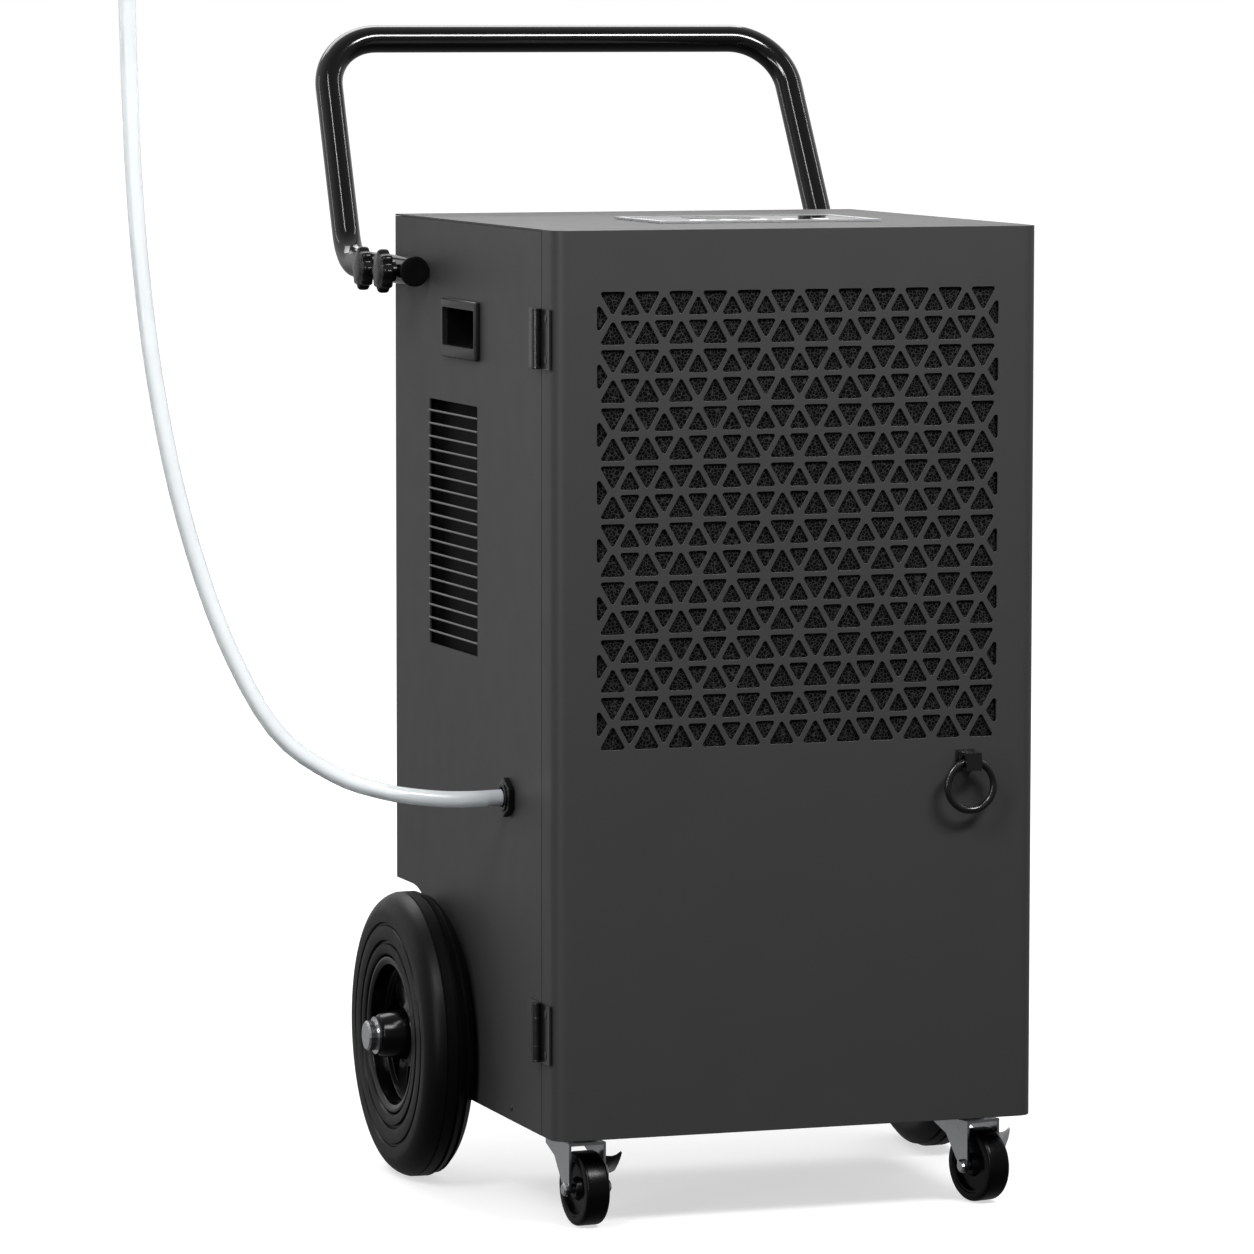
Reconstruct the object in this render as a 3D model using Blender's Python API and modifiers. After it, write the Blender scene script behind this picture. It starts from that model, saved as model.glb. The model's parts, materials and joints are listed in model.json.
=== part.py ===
"""Commercial pump dehumidifier on wheels, as an assembly of separate pieces.

Metres, +Z up, the door faces -Y.  The model is laid out from the cabinet: x is measured from the
middle of the cabinet, y from the front edge of the side panels, and z from the floor.  One empty
carries everything and moves the origin to the middle of the machine's footprint.
"""
import math

import bmesh
import bpy
from mathutils import Matrix, Vector

# ---- fits -------------------------------------------------------------------------------------
GAP = 0.0003                 # between pieces that touch
RUN_GAP = 0.0006             # between a turning piece and what it turns on

# ---- cabinet ----------------------------------------------------------------------------------
CABINET_WIDTH = 0.4314
CABINET_DEPTH = 0.4113
CABINET_HEIGHT = 0.760
SHEET = 0.0015               # steel sheet
BASE_FLANGE = 0.062          # height of the base pan's rim
STEP_HEIGHT = 0.1675         # cabinet underside to the step over the axle, at the back
STEP_DEPTH = 0.109           # back of the cabinet to the riser of the step
STEP_RADIUS = 0.060          # rolled corner of the step

# ---- door and grille --------------------------------------------------------------------------
DOOR_GAP = 0.0010
DOOR_DEPTH = 0.0348
DOOR_CORNER = 0.014
GRILLE_ROW_PAIRS = 8
GRILLE_DROP = 0.0488         # top of the cabinet to the top of the grille
GRILLE_SIDE_ROOM = 0.0300    # least width of plain door beside the grille
BIG_HOLE = 0.0230            # side of the large triangular holes
SMALL_HOLE = 0.0186          # side of the small triangular holes
ROW_BAR = 0.0044             # level bar between two rows
SLANT_BAR = 0.00483          # slanting bar between a large hole and a small one
TIP_GAP = 0.00398            # between the tips of the two large holes of a pair
EDGE_HOLE_DEPTH = 0.0070     # half holes down both sides of the grille
HOLE_ANGLE = math.radians(60.0)

# ---- filter -----------------------------------------------------------------------------------
FILTER_MARGIN = 0.010        # filter beyond the grille, all round
FILTER_RIM = 0.008
FILTER_DEPTH = 0.010

# ---- ring pull --------------------------------------------------------------------------------
RING_INSET = 0.0652          # edge of the door to the middle of the ring
RING_DROP = 0.0377           # lowest row of the grille to the middle of the ring
RING_RADIUS = 0.0208
RING_WIRE = 0.0032
RING_STAND_OFF = 0.0143      # door face to the middle of the wire
LUG_WIDTH = 0.0138
LUG_BORE = 0.0052
LUG_WALL = 0.0023

# ---- hinges -----------------------------------------------------------------------------------
HINGE_HEIGHT = 0.050
HINGE_LEAF = 0.027
HINGE_SHEET = 0.0020
HINGE_BARREL = 0.0042
HINGE_PIN = 0.0018
LOWER_HINGE = 0.0885         # cabinet underside to the middle of the hinge
UPPER_HINGE = 0.0905         # top of the cabinet to the middle of the hinge

# ---- side openings ----------------------------------------------------------------------------
VENT_SLOTS = 19
VENT_SLOT = 0.0102           # height of one slot
VENT_LIP = 0.00117           # metal between two slots
VENT_LENGTH = 0.137
VENT_Y = 0.2425
VENT_DROP = 0.157            # top of the cabinet to the first slot
CUP_Y = 0.2145
CUP_DROP = 0.0918            # top of the cabinet to the middle of the hand space
CUP_LENGTH = 0.088           # the hand space
CUP_HEIGHT = 0.0325
CUP_DEPTH = 0.036
CUP_WALL = 0.0025
CUP_SIDE_RIM = 0.0048        # flange beyond the hand space
CUP_TOP_RIM = 0.0078
CUP_BOTTOM_RIM = 0.0105
CUP_PROUD = 0.0045
CUP_EDGE = 0.0018            # rounding of the flange

# ---- control panel ----------------------------------------------------------------------------
PANEL_X = 0.0235
PANEL_Y = 0.1575
PANEL_LENGTH = 0.201
PANEL_DEPTH = 0.123
PANEL_RIM = 0.006
PANEL_PROUD = 0.0018
PANEL_BODY = 0.016           # depth of the panel box under the top

# ---- drain outlet and hose --------------------------------------------------------------------
OUTLET_Y = 0.086
OUTLET_Z = 0.2765
OUTLET_NUT = 0.0324          # across corners
OUTLET_NUT_LENGTH = 0.0070
OUTLET_BODY = 0.022
OUTLET_REACH = 0.020         # inside the panel
OUTLET_WALL = 0.002          # hose radius to the bore that it is pushed over
HOSE_RADIUS = 0.007
HOSE_SIDE_RESOLUTION = 3
HOSE_SPACING = 0.030         # between the points that the hose solid is drawn through
# From the outlet nut, (outwards, up) from the middle of the outlet, in the plane of the outlet.
HOSE_ROUTE = (
    (0.0000, 0.0000), (0.0300, -0.0004), (0.0615, 0.0016), (0.1015, 0.0085), (0.1480, 0.0255),
    (0.1990, 0.0650), (0.2430, 0.1450), (0.2760, 0.2430), (0.2970, 0.3380), (0.3100, 0.4310),
    (0.3175, 0.5240), (0.3210, 0.6130), (0.3225, 0.6700), (0.3230, 0.7060),
)
TAIL_LENGTH = 0.030          # end piece of the hose
TAIL_RADIUS = 0.010

# ---- rear wheels ------------------------------------------------------------------------------
WHEEL_RADIUS = 0.125
TYRE_WIDTH = 0.046
TYRE_SHOULDER = 0.020
RIM_RADIUS = 0.0685
RIM_WIDTH = 0.042
RIM_WALL = 0.007
RIM_WEB = 0.010
HUB_RADIUS = 0.022
HUB_REACH = 0.009            # hub beyond the tyre, on the outside
SPOKES = 5
AXLE_INSET = 0.0198          # riser of the step to the axle
AXLE_RADIUS = 0.0080
WHEEL_SIDE_GAP = 0.0030      # panel to tyre
NUT_FLANGE_RADIUS = 0.0165
NUT_FLANGE = 0.0020
NUT_RADIUS = 0.0132
NUT_LENGTH = 0.0088
NUT_EDGE = 0.0015
WHEEL_STEPS = 24

# ---- front castors ----------------------------------------------------------------------------
CASTOR_WHEEL_RADIUS = 0.0315
CASTOR_WHEEL_WIDTH = 0.0215
CASTOR_HEADROOM = 0.0054     # wheel to the crown of the fork
CASTOR_TREAD_EDGE = 0.0030
CASTOR_WEB_RADIUS = 0.0220   # where the tread ends and the recessed web begins
CASTOR_WEB_INSET = 0.0043
CASTOR_INSET = 0.0382        # side panel to the swivel axis
CASTOR_Y = 0.0248
CASTOR_TRAIL = 0.0200
CASTOR_YAWS = {"left": math.radians(4.8), "right": math.radians(14.0)}
CASTOR_PLATE = 0.058
CASTOR_PLATE_SHEET = 0.0025
CASTOR_RACE_RADIUS = 0.019
CASTOR_RACE = 0.0050
FORK_SHEET = 0.0022
FORK_SIDE_GAP = 0.0040
FORK_CROWN = 0.050           # length of the fork's top, front to back
FORK_HEEL = 0.0040           # depth of the cheeks at the back
FORK_WAIST = (0.0253, 0.0120)   # behind the axle, and below the crown, where the cheek turns up
FORK_TIP = 0.0062
CASTOR_HUB_RADIUS = 0.0085
CASTOR_BOLT = 0.0038
CASTOR_BOLT_HEAD = 0.0058
CASTOR_BOLT_HEAD_LENGTH = 0.0032
BRAKE_SHEET = 0.0022
BRAKE_PEDAL_REACH = 0.0243
BRAKE_PEDAL_TILT = math.radians(36.6)
BRAKE_PEDAL_LENGTH = 0.017
BRAKE_PEDAL_RISE = 0.0125    # wheel axle to the foot of the pedal
BRAKE_EYE = 0.0072

# ---- handle -----------------------------------------------------------------------------------
TUBE_RADIUS = 0.0125
ARM_GAP = 0.0017             # side panel to tube
ARM_DROP = 0.047             # top of the cabinet to the middle of the arms
ARM_OVERHANG = 0.0165        # front knobs to the ends of the arms
ELBOW_REACH = 0.0947         # back of the cabinet to the corner of the elbow
HANDLE_RISE = 0.1998
HANDLE_LEAN = math.radians(28.8)
HANDLE_SPLAY = 0.0088        # each leg leans in by this much
ELBOW_RADIUS = 0.048
SHOULDER_RADIUS = 0.052
TUBE_WALL = 0.0015
TUBE_RESOLUTION = 3
END_CAP = 0.0040
END_CAP_LIP = 0.0008
KNOB_INSET = 0.0236          # back of the cabinet to the rear knobs
KNOB_SPACING = 0.0602
KNOB_RADIUS = 0.0192
KNOB_WAVE = 0.0014
KNOB_LOBES = 8
KNOB_BODY = 0.0110
KNOB_BOSS_RADIUS = 0.0095
KNOB_BOSS = 0.0055
KNOB_STUD = 0.0035

# ---- inside -----------------------------------------------------------------------------------
COIL_WIDTH = 0.350
COIL_HEIGHT = 0.380
COIL_DROP = 0.055            # top of the cabinet to the top of the coils
EVAPORATOR_Y = 0.010
EVAPORATOR_DEPTH = 0.028
CONDENSER_DEPTH = 0.034
COIL_SPACING = 0.006
COIL_GROOVES = 8
COIL_GROOVE_DEPTH = 0.003
COIL_GROOVE_SHARE = 0.3      # of one row
SHROUD_GAP = 0.024           # condenser to the plate that the fan turns in
STRAP_GAP = 0.007            # fan to the motor strap
FAN_RADIUS = 0.140
FAN_TIP_GAP = 0.006
FAN_BLADES = 5
FAN_CHORD = 0.062
FAN_BLADE = 0.0025           # thickness
FAN_PITCH = math.radians(28.0)
FAN_HUB_RADIUS = 0.034
FAN_HUB_LENGTH = 0.030
MOTOR_RADIUS = 0.044
MOTOR_LENGTH = 0.066
MOTOR_SHAFT = 0.004
MOTOR_STRAP = 0.026
COMPRESSOR_X = 0.095
COMPRESSOR_INSET = 0.1223    # riser of the step to its axis
COMPRESSOR_RADIUS = 0.070
COMPRESSOR_HEIGHT = 0.230
COMPRESSOR_DOME = 0.0315
COMPRESSOR_FOOT = (0.0756, 0.030)   # radius and height
TRAY_HEIGHT = 0.022
TANK_SIZE = (0.150, 0.120, 0.100)
TANK_WALL = 0.0025
TANK_SIDE_ROOM = 0.0289      # side panel to the tank
TANK_Y = 0.120
TANK_LID = 0.003
PUMP_SIZE = (0.060, 0.050, 0.055)
PIPE_BEND = 0.030
PIPE_RADIUS = 0.0050
INLET_X = 0.120
INLET_Z = 0.230
INLET_SIZE = (0.032, 0.026)
INLET_FLANGE = 0.010
INLET_PROUD = 0.003
INLET_WALL = 0.004
INLET_DEPTH = 0.022

# ---- levels and planes that follow from the sizes ---------------------------------------------
HALF = CABINET_WIDTH / 2
CASTOR_STACK = FORK_SHEET + GAP + CASTOR_RACE + CASTOR_PLATE_SHEET + GAP
BASE_Z = 2 * CASTOR_WHEEL_RADIUS + CASTOR_HEADROOM + CASTOR_STACK    # underside of the cabinet
TOP_Z = BASE_Z + CABINET_HEIGHT
DOOR_BACK = -DOOR_GAP
DOOR_FRONT = -DOOR_GAP - DOOR_DEPTH
INNER = HALF - SHEET - GAP                   # room between the side panels
PANEL_TOP_Z = TOP_Z - SHEET - GAP            # upper edge of the side panels
STEP_Y = CABINET_DEPTH - STEP_DEPTH
STEP_Z = BASE_Z + STEP_HEIGHT
AXLE_Y = STEP_Y - AXLE_INSET
AXLE_Z = WHEEL_RADIUS
CASTOR_AXLE_Z = CASTOR_WHEEL_RADIUS
KNOB_YS = {"front": CABINET_DEPTH - KNOB_INSET - KNOB_SPACING, "rear": CABINET_DEPTH - KNOB_INSET}
ARM_X = HALF + ARM_GAP + TUBE_RADIUS
ARM_HEIGHT = TOP_Z - ARM_DROP
ARM_FRONT = KNOB_YS["front"] - ARM_OVERHANG
ARM_ELBOW = CABINET_DEPTH + ELBOW_REACH
HANDLE_TOP_HALF = ARM_X - HANDLE_SPLAY
HANDLE_TOP_Y = ARM_ELBOW + HANDLE_RISE * math.tan(HANDLE_LEAN)
HANDLE_TOP_Z = ARM_HEIGHT + HANDLE_RISE
PAN_FLOOR = BASE_Z + SHEET + GAP             # what stands on the base pan
HINGE_ZS = {"lower": BASE_Z + LOWER_HINGE, "upper": TOP_Z - UPPER_HINGE}
VENT_PITCH = VENT_SLOT + VENT_LIP
CUP_MID_Z = TOP_Z - CUP_DROP
COIL_LOW_Z = TOP_Z - COIL_DROP - COIL_HEIGHT
COMPRESSOR_Y = STEP_Y - COMPRESSOR_INSET
TANK_X = -(INNER - TANK_SIDE_ROOM - TANK_SIZE[0] / 2)

# A row pair is a large hole, the gap between two tips and the mirrored large hole, within its bars.
BIG_RISE = BIG_HOLE * math.sin(HOLE_ANGLE)
GRILLE_PITCH_Z = ROW_BAR + 2 * BIG_RISE + TIP_GAP
ROW_BAND = GRILLE_PITCH_Z / 2 - ROW_BAR
GRILLE_PITCH_X = SMALL_HOLE + 2 * (SLANT_BAR / math.sin(HOLE_ANGLE)
                                   + (BIG_RISE - ROW_BAND) / math.tan(HOLE_ANGLE))
GRILLE_ROOM = CABINET_WIDTH - 2 * GRILLE_SIDE_ROOM - BIG_HOLE - ROW_BAR
GRILLE_COLUMNS = int(GRILLE_ROOM / GRILLE_PITCH_X) + 1
GRILLE_WIDTH = (GRILLE_COLUMNS - 1) * GRILLE_PITCH_X + BIG_HOLE + ROW_BAR
GRILLE_HEIGHT = GRILLE_ROW_PAIRS * GRILLE_PITCH_Z
GRILLE_TOP_Z = TOP_Z - GRILLE_DROP
GRILLE_MID_Z = GRILLE_TOP_Z - GRILLE_HEIGHT / 2
RING_X = HALF - RING_INSET
RING_Y = DOOR_FRONT - RING_STAND_OFF
RING_MID_Z = GRILLE_TOP_Z - GRILLE_HEIGHT - RING_DROP
LUG_REACH = LUG_BORE + LUG_WALL
FOOTPRINT_FRONT = RING_Y - LUG_REACH
FOOTPRINT_BACK = HANDLE_TOP_Y + TUBE_RADIUS
FOOTPRINT_MIDDLE = (FOOTPRINT_FRONT + FOOTPRINT_BACK) / 2

# Turns that lay a shape, drawn flat or turned about its own Z, into its place.
FACING_SIDE = (math.pi / 2, 0.0, math.pi / 2)    # drawn x -> y, y -> z, z -> x
FACING_FRONT = (math.pi / 2, 0.0, 0.0)           # drawn x -> x, y -> z, z -> -y
ALONG_X = (0.0, math.pi / 2, 0.0)                # drawn z -> x
ALONG_Y = (-math.pi / 2, 0.0, 0.0)               # drawn z -> y

SIDES = {"left": -1.0, "right": 1.0}


# ---- scene ------------------------------------------------------------------------------------
def clear_scene():
    for thing in list(bpy.data.objects):
        bpy.data.objects.remove(thing, do_unlink=True)
    for group in list(bpy.data.collections):
        bpy.data.collections.remove(group)


def new_collection(name):
    group = bpy.data.collections.new(name)
    bpy.context.scene.collection.children.link(group)
    return group


clear_scene()
PARTS = new_collection("dehumidifier")
CUTTERS = new_collection("cutters")
ORIGIN = bpy.data.objects.new("footprint_origin", None)
ORIGIN.location = (0.0, -FOOTPRINT_MIDDLE, 0.0)
PARTS.objects.link(ORIGIN)


# ---- materials --------------------------------------------------------------------------------
def material(name, colour, roughness, metallic=0.0):
    made = bpy.data.materials.new(name)
    made.use_nodes = True
    shader = made.node_tree.nodes["Principled BSDF"]
    shader.inputs["Base Color"].default_value = (*colour, 1.0)
    shader.inputs["Roughness"].default_value = roughness
    shader.inputs["Metallic"].default_value = metallic
    return made


POWDER_COAT = material("charcoal_powder_coat", (0.045, 0.045, 0.045), 0.55)
GLOSS_BLACK = material("gloss_black_enamel", (0.012, 0.012, 0.012), 0.12)
BLACK_PLASTIC = material("black_plastic", (0.015, 0.015, 0.015), 0.40)
BLACK_STEEL = material("black_steel", (0.020, 0.020, 0.020), 0.35, 0.6)
RUBBER = material("black_rubber", (0.020, 0.020, 0.020), 0.65)
ZINC = material("zinc_plate", (0.60, 0.61, 0.62), 0.30, 1.0)
FOAM = material("filter_foam", (0.010, 0.010, 0.010), 0.95)
SILVER_TRIM = material("silver_trim", (0.65, 0.65, 0.66), 0.25, 0.8)
GLOSS_PANEL = material("panel_glass", (0.020, 0.022, 0.025), 0.05)
CLEAR_PVC = material("clear_pvc", (0.80, 0.82, 0.84), 0.10)
ALUMINIUM = material("fin_aluminium", (0.70, 0.71, 0.72), 0.35, 1.0)
COMPRESSOR_PAINT = material("compressor_paint", (0.010, 0.010, 0.011), 0.30)
WHITE_PLASTIC = material("white_plastic", (0.75, 0.75, 0.74), 0.45)


# ---- building blocks --------------------------------------------------------------------------
def place(thing, location=(0.0, 0.0, 0.0), rotation=(0.0, 0.0, 0.0), group=PARTS):
    thing.location = location
    thing.rotation_euler = rotation
    thing.parent = ORIGIN
    group.objects.link(thing)
    return thing


def finish(thing, coat, smooth=False):
    thing.data.materials.clear()
    thing.data.materials.append(coat)
    if smooth:
        thing.data.shade_smooth()
        thing.data.set_sharp_from_angle(angle=math.radians(40.0))
    return thing


def object_from(name, mesh_builder, location=(0.0, 0.0, 0.0), rotation=(0.0, 0.0, 0.0), group=PARTS):
    mesh = bpy.data.meshes.new(name)
    mesh_builder.normal_update()
    mesh_builder.to_mesh(mesh)
    mesh_builder.free()
    return place(bpy.data.objects.new(name, mesh), location, rotation, group)


def add_box(mesh_builder, low, high):
    size = [b - a for a, b in zip(low, high)]
    middle = [(a + b) / 2 for a, b in zip(low, high)]
    matrix = Matrix.Translation(middle) @ Matrix.Diagonal((*size, 1.0))
    return bmesh.ops.create_cube(mesh_builder, size=1.0, matrix=matrix)["verts"]


def box(name, low, high, group=PARTS):
    shape = bmesh.new()
    add_box(shape, low, high)
    return object_from(name, shape, group=group)


def add_cylinder(mesh_builder, radius, low, high, steps=20, matrix=None):
    """A cylinder about the builder's Z from low to high, moved by the matrix."""
    upright = Matrix.Translation((0.0, 0.0, (low + high) / 2))
    bmesh.ops.create_cone(
        mesh_builder, cap_ends=True, segments=steps, radius1=radius, radius2=radius,
        depth=high - low, matrix=(matrix or Matrix()) @ upright)


def cylinder(name, radius, low, high, location=(0.0, 0.0, 0.0), rotation=(0.0, 0.0, 0.0), steps=20,
             group=PARTS):
    shape = bmesh.new()
    add_cylinder(shape, radius, low, high, steps)
    return object_from(name, shape, location, rotation, group)


def turned(name, profile, steps, closed, location=(0.0, 0.0, 0.0), rotation=(0.0, 0.0, 0.0), group=PARTS):
    """Turn (radius, height) points about Z; the profile runs down its outer side."""
    shape = bmesh.new()
    points = [shape.verts.new((radius, 0.0, height)) for radius, height in profile]
    pairs = list(zip(points, points[1:]))
    if closed:
        pairs.append((points[-1], points[0]))
    for first, second in pairs:
        shape.edges.new((first, second))
    thing = object_from(name, shape, location, rotation, group)
    screw = thing.modifiers.new("turn", "SCREW")
    screw.steps = steps
    screw.render_steps = steps
    screw.use_merge_vertices = True
    screw.merge_threshold = 0.00001
    return thing


def flat(name, outlines, thickness, location=(0.0, 0.0, 0.0), rotation=(0.0, 0.0, 0.0), group=PARTS):
    """A flat plate from its outline and its holes, centred on its own XY plane."""
    curve = bpy.data.curves.new(name, "CURVE")
    curve.dimensions = "2D"
    curve.fill_mode = "BOTH"
    curve.extrude = thickness / 2
    for outline in outlines:
        spline = curve.splines.new("POLY")
        spline.points.add(len(outline) - 1)
        for point, (x, y) in zip(spline.points, outline):
            point.co = (x, y, 0.0, 1.0)
        spline.use_cyclic_u = True
    return place(bpy.data.objects.new(name, curve), location, rotation, group)


def tube(name, points, radius, resolution, group=PARTS):
    curve = bpy.data.curves.new(name, "CURVE")
    curve.dimensions = "3D"
    curve.bevel_depth = radius
    curve.bevel_resolution = resolution
    curve.use_fill_caps = True
    spline = curve.splines.new("POLY")
    spline.points.add(len(points) - 1)
    for point, place_of in zip(spline.points, points):
        point.co = (*place_of, 1.0)
    return place(bpy.data.objects.new(name, curve), group=group)


def as_mesh(thing):
    """The same object as a mesh, with its loose caps welded, so that it can be cut."""
    bpy.context.view_layer.update()
    evaluated = thing.evaluated_get(bpy.context.evaluated_depsgraph_get())
    mesh = bpy.data.meshes.new_from_object(evaluated)
    shape = bmesh.new()
    shape.from_mesh(mesh)
    bmesh.ops.remove_doubles(shape, verts=shape.verts, dist=0.00001)
    shape.to_mesh(mesh)
    shape.free()
    name = thing.name
    group = thing.users_collection[0]
    world = thing.matrix_world.copy()
    bpy.data.objects.remove(thing, do_unlink=True)
    made = bpy.data.objects.new(name, mesh)
    made.parent = ORIGIN
    group.objects.link(made)
    bpy.context.view_layer.update()
    made.matrix_world = world
    return made


def combine(thing, other, operation, solver="EXACT"):
    """Cut the thing by the other, or join the other on; the other stays as a hidden guide."""
    other.hide_render = True
    other.display_type = "WIRE"
    step = thing.modifiers.new(operation.lower(), "BOOLEAN")
    step.operation = operation
    step.solver = solver
    step.object = other
    return thing


def soften(thing, width, segments=1, angle=30.0):
    bevel = thing.modifiers.new("soften", "BEVEL")
    bevel.width = width
    bevel.segments = segments
    bevel.limit_method = "ANGLE"
    bevel.angle_limit = math.radians(angle)
    return thing


def shell(name, low, high, open_side, wall, group=PARTS):
    """A sheet box without the face whose normal is open_side; the wall goes inwards."""
    shape = bmesh.new()
    add_box(shape, low, high)
    shape.normal_update()
    lids = [face for face in shape.faces if face.normal.dot(Vector(open_side)) > 0.9]
    bmesh.ops.delete(shape, geom=lids, context="FACES_ONLY")
    thing = object_from(name, shape, group=group)
    thicken = thing.modifiers.new("sheet", "SOLIDIFY")
    thicken.thickness = wall
    thicken.offset = -1.0
    thicken.use_even_offset = True
    return thing


def rectangle(middle, size):
    (x, y), (width, height) = middle, size
    return [(x - width / 2, y - height / 2), (x + width / 2, y - height / 2),
            (x + width / 2, y + height / 2), (x - width / 2, y + height / 2)]


def circle(middle, radius, steps, start=0.0):
    turn = math.tau / steps
    return [(middle[0] + radius * math.cos(start + i * turn),
             middle[1] + radius * math.sin(start + i * turn)) for i in range(steps)]


def arc(middle, radius, start, end, steps):
    """Points of an arc, ends included, with the angles in degrees."""
    angles = [math.radians(start + (end - start) * i / steps) for i in range(steps + 1)]
    return [(middle[0] + radius * math.cos(a), middle[1] + radius * math.sin(a)) for a in angles]


def rounded_path(corners, radius_of, steps):
    """The straight runs between the corners, with each inner corner rounded to its radius."""
    points = [Vector(corners[0])]
    for before, corner, after, radius in zip(corners, corners[1:], corners[2:], radius_of):
        corner = Vector(corner)
        back = (Vector(before) - corner).normalized()
        ahead = (Vector(after) - corner).normalized()
        half = back.angle(ahead) / 2
        centre = corner + (back + ahead).normalized() * radius / math.sin(half)
        start = corner + back * radius / math.tan(half)
        end = corner + ahead * radius / math.tan(half)
        first = start - centre
        last = end - centre
        sweep = first.angle(last)
        for i in range(steps + 1):
            share = i / steps
            mixed = (first * math.sin((1 - share) * sweep) + last * math.sin(share * sweep)) / math.sin(sweep)
            points.append(centre + mixed)
    points.append(Vector(corners[-1]))
    return points


def smooth_path(route, spacing):
    """Points about one spacing apart on a smooth curve through the route's points."""
    ends = [route[0] * 2 - route[1]] + list(route) + [route[-1] * 2 - route[-2]]
    points = []
    for a, b, c, d in zip(ends, ends[1:], ends[2:], ends[3:]):
        count = max(1, round((c - b).length / spacing))
        for i in range(count):
            t = i / count
            points.append(0.5 * ((2 * b) + (c - a) * t + (2 * a - 5 * b + 4 * c - d) * t ** 2
                                 + (3 * b - a - 3 * c + d) * t ** 3))
    points.append(route[-1])
    return points


# ---- cabinet ----------------------------------------------------------------------------------
def side_outline():
    """Side panel seen from the right: (y, z), with the rolled step over the axle."""
    corner = (STEP_Y + STEP_RADIUS, STEP_Z - STEP_RADIUS)
    return ([(0.0, BASE_Z), (STEP_Y, BASE_Z)]
            + arc(corner, STEP_RADIUS, 180.0, 90.0, 8)
            + [(CABINET_DEPTH, STEP_Z), (CABINET_DEPTH, PANEL_TOP_Z), (0.0, PANEL_TOP_Z)])


def vent_slots():
    slots = []
    for row in range(VENT_SLOTS):
        height = TOP_Z - VENT_DROP - VENT_PITCH * (row + 0.5)
        slots.append(rectangle((VENT_Y, height), (VENT_LENGTH, VENT_SLOT)))
    return slots


def cup_hole_size():
    room = 2 * (CUP_WALL + GAP)
    return (CUP_LENGTH + room, CUP_HEIGHT + room)


def make_side_panels():
    for side, sign in SIDES.items():
        outlines = [side_outline()] + vent_slots()
        outlines.append(rectangle((CUP_Y, CUP_MID_Z), cup_hole_size()))
        outlines.append(circle((AXLE_Y, AXLE_Z), AXLE_RADIUS + GAP, 16))
        if side == "left":
            outlines.append(circle((OUTLET_Y, BASE_Z + OUTLET_Z), OUTLET_BODY / 2 + GAP, 16))
        middle = sign * (HALF - SHEET / 2)
        finish(flat(f"side_panel_{side}", outlines, SHEET, (middle, 0.0, 0.0), FACING_SIDE), POWDER_COAT)


def make_top_panel():
    opening = (PANEL_LENGTH - 2 * PANEL_RIM + 2 * GAP, PANEL_DEPTH - 2 * PANEL_RIM + 2 * GAP)
    outlines = [rectangle((0.0, CABINET_DEPTH / 2), (CABINET_WIDTH, CABINET_DEPTH)),
                rectangle((PANEL_X, PANEL_Y), opening)]
    finish(flat("top_panel", outlines, SHEET, (0.0, 0.0, TOP_Z - SHEET / 2)), POWDER_COAT)


def make_rear_panel():
    low, high = STEP_Z + SHEET + GAP, PANEL_TOP_Z - GAP
    outlines = [rectangle((0.0, (low + high) / 2), (2 * INNER, high - low)),
                rectangle((INLET_X, BASE_Z + INLET_Z), (INLET_SIZE[0] + 2 * GAP, INLET_SIZE[1] + 2 * GAP))]
    middle = CABINET_DEPTH - SHEET / 2
    finish(flat("rear_panel", outlines, SHEET, (0.0, middle, 0.0), FACING_FRONT), POWDER_COAT)


def make_step_panel():
    """The rolled sheet between the side panels that closes the cabinet over the axle."""
    corner = (STEP_Y + STEP_RADIUS, STEP_Z - STEP_RADIUS)
    outer = ([(STEP_Y, BASE_Z)] + arc(corner, STEP_RADIUS, 180.0, 90.0, 8) + [(CABINET_DEPTH, STEP_Z)])
    inner = ([(CABINET_DEPTH, STEP_Z + SHEET)] + arc(corner, STEP_RADIUS + SHEET, 90.0, 180.0, 8)
             + [(STEP_Y - SHEET, BASE_Z)])
    finish(flat("step_panel", [outer + inner], 2 * INNER, (0.0, 0.0, 0.0), FACING_SIDE), POWDER_COAT)


def make_base_pan():
    low = (-INNER, SHEET + 2 * GAP, BASE_Z)
    high = (INNER, STEP_Y - SHEET - GAP, BASE_Z + BASE_FLANGE)
    pan = shell("base_pan", low, high, (0.0, 0.0, 1.0), SHEET)
    hole = cylinder("base_pan_axle_hole", AXLE_RADIUS + GAP, -CABINET_WIDTH, CABINET_WIDTH,
                    (0.0, AXLE_Y, AXLE_Z), ALONG_X, 16, CUTTERS)
    finish(combine(pan, hole, "DIFFERENCE"), POWDER_COAT)


def filter_size():
    return (GRILLE_WIDTH + 2 * FILTER_MARGIN, GRILLE_HEIGHT + 2 * FILTER_MARGIN)


def make_front_frame():
    high = PANEL_TOP_Z - GAP
    outlines = [rectangle((0.0, (BASE_Z + high) / 2), (2 * INNER, high - BASE_Z)),
                rectangle((0.0, GRILLE_MID_Z), (GRILLE_WIDTH, GRILLE_HEIGHT))]
    finish(flat("front_frame", outlines, SHEET, (0.0, SHEET / 2, 0.0), FACING_FRONT), POWDER_COAT)


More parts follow.
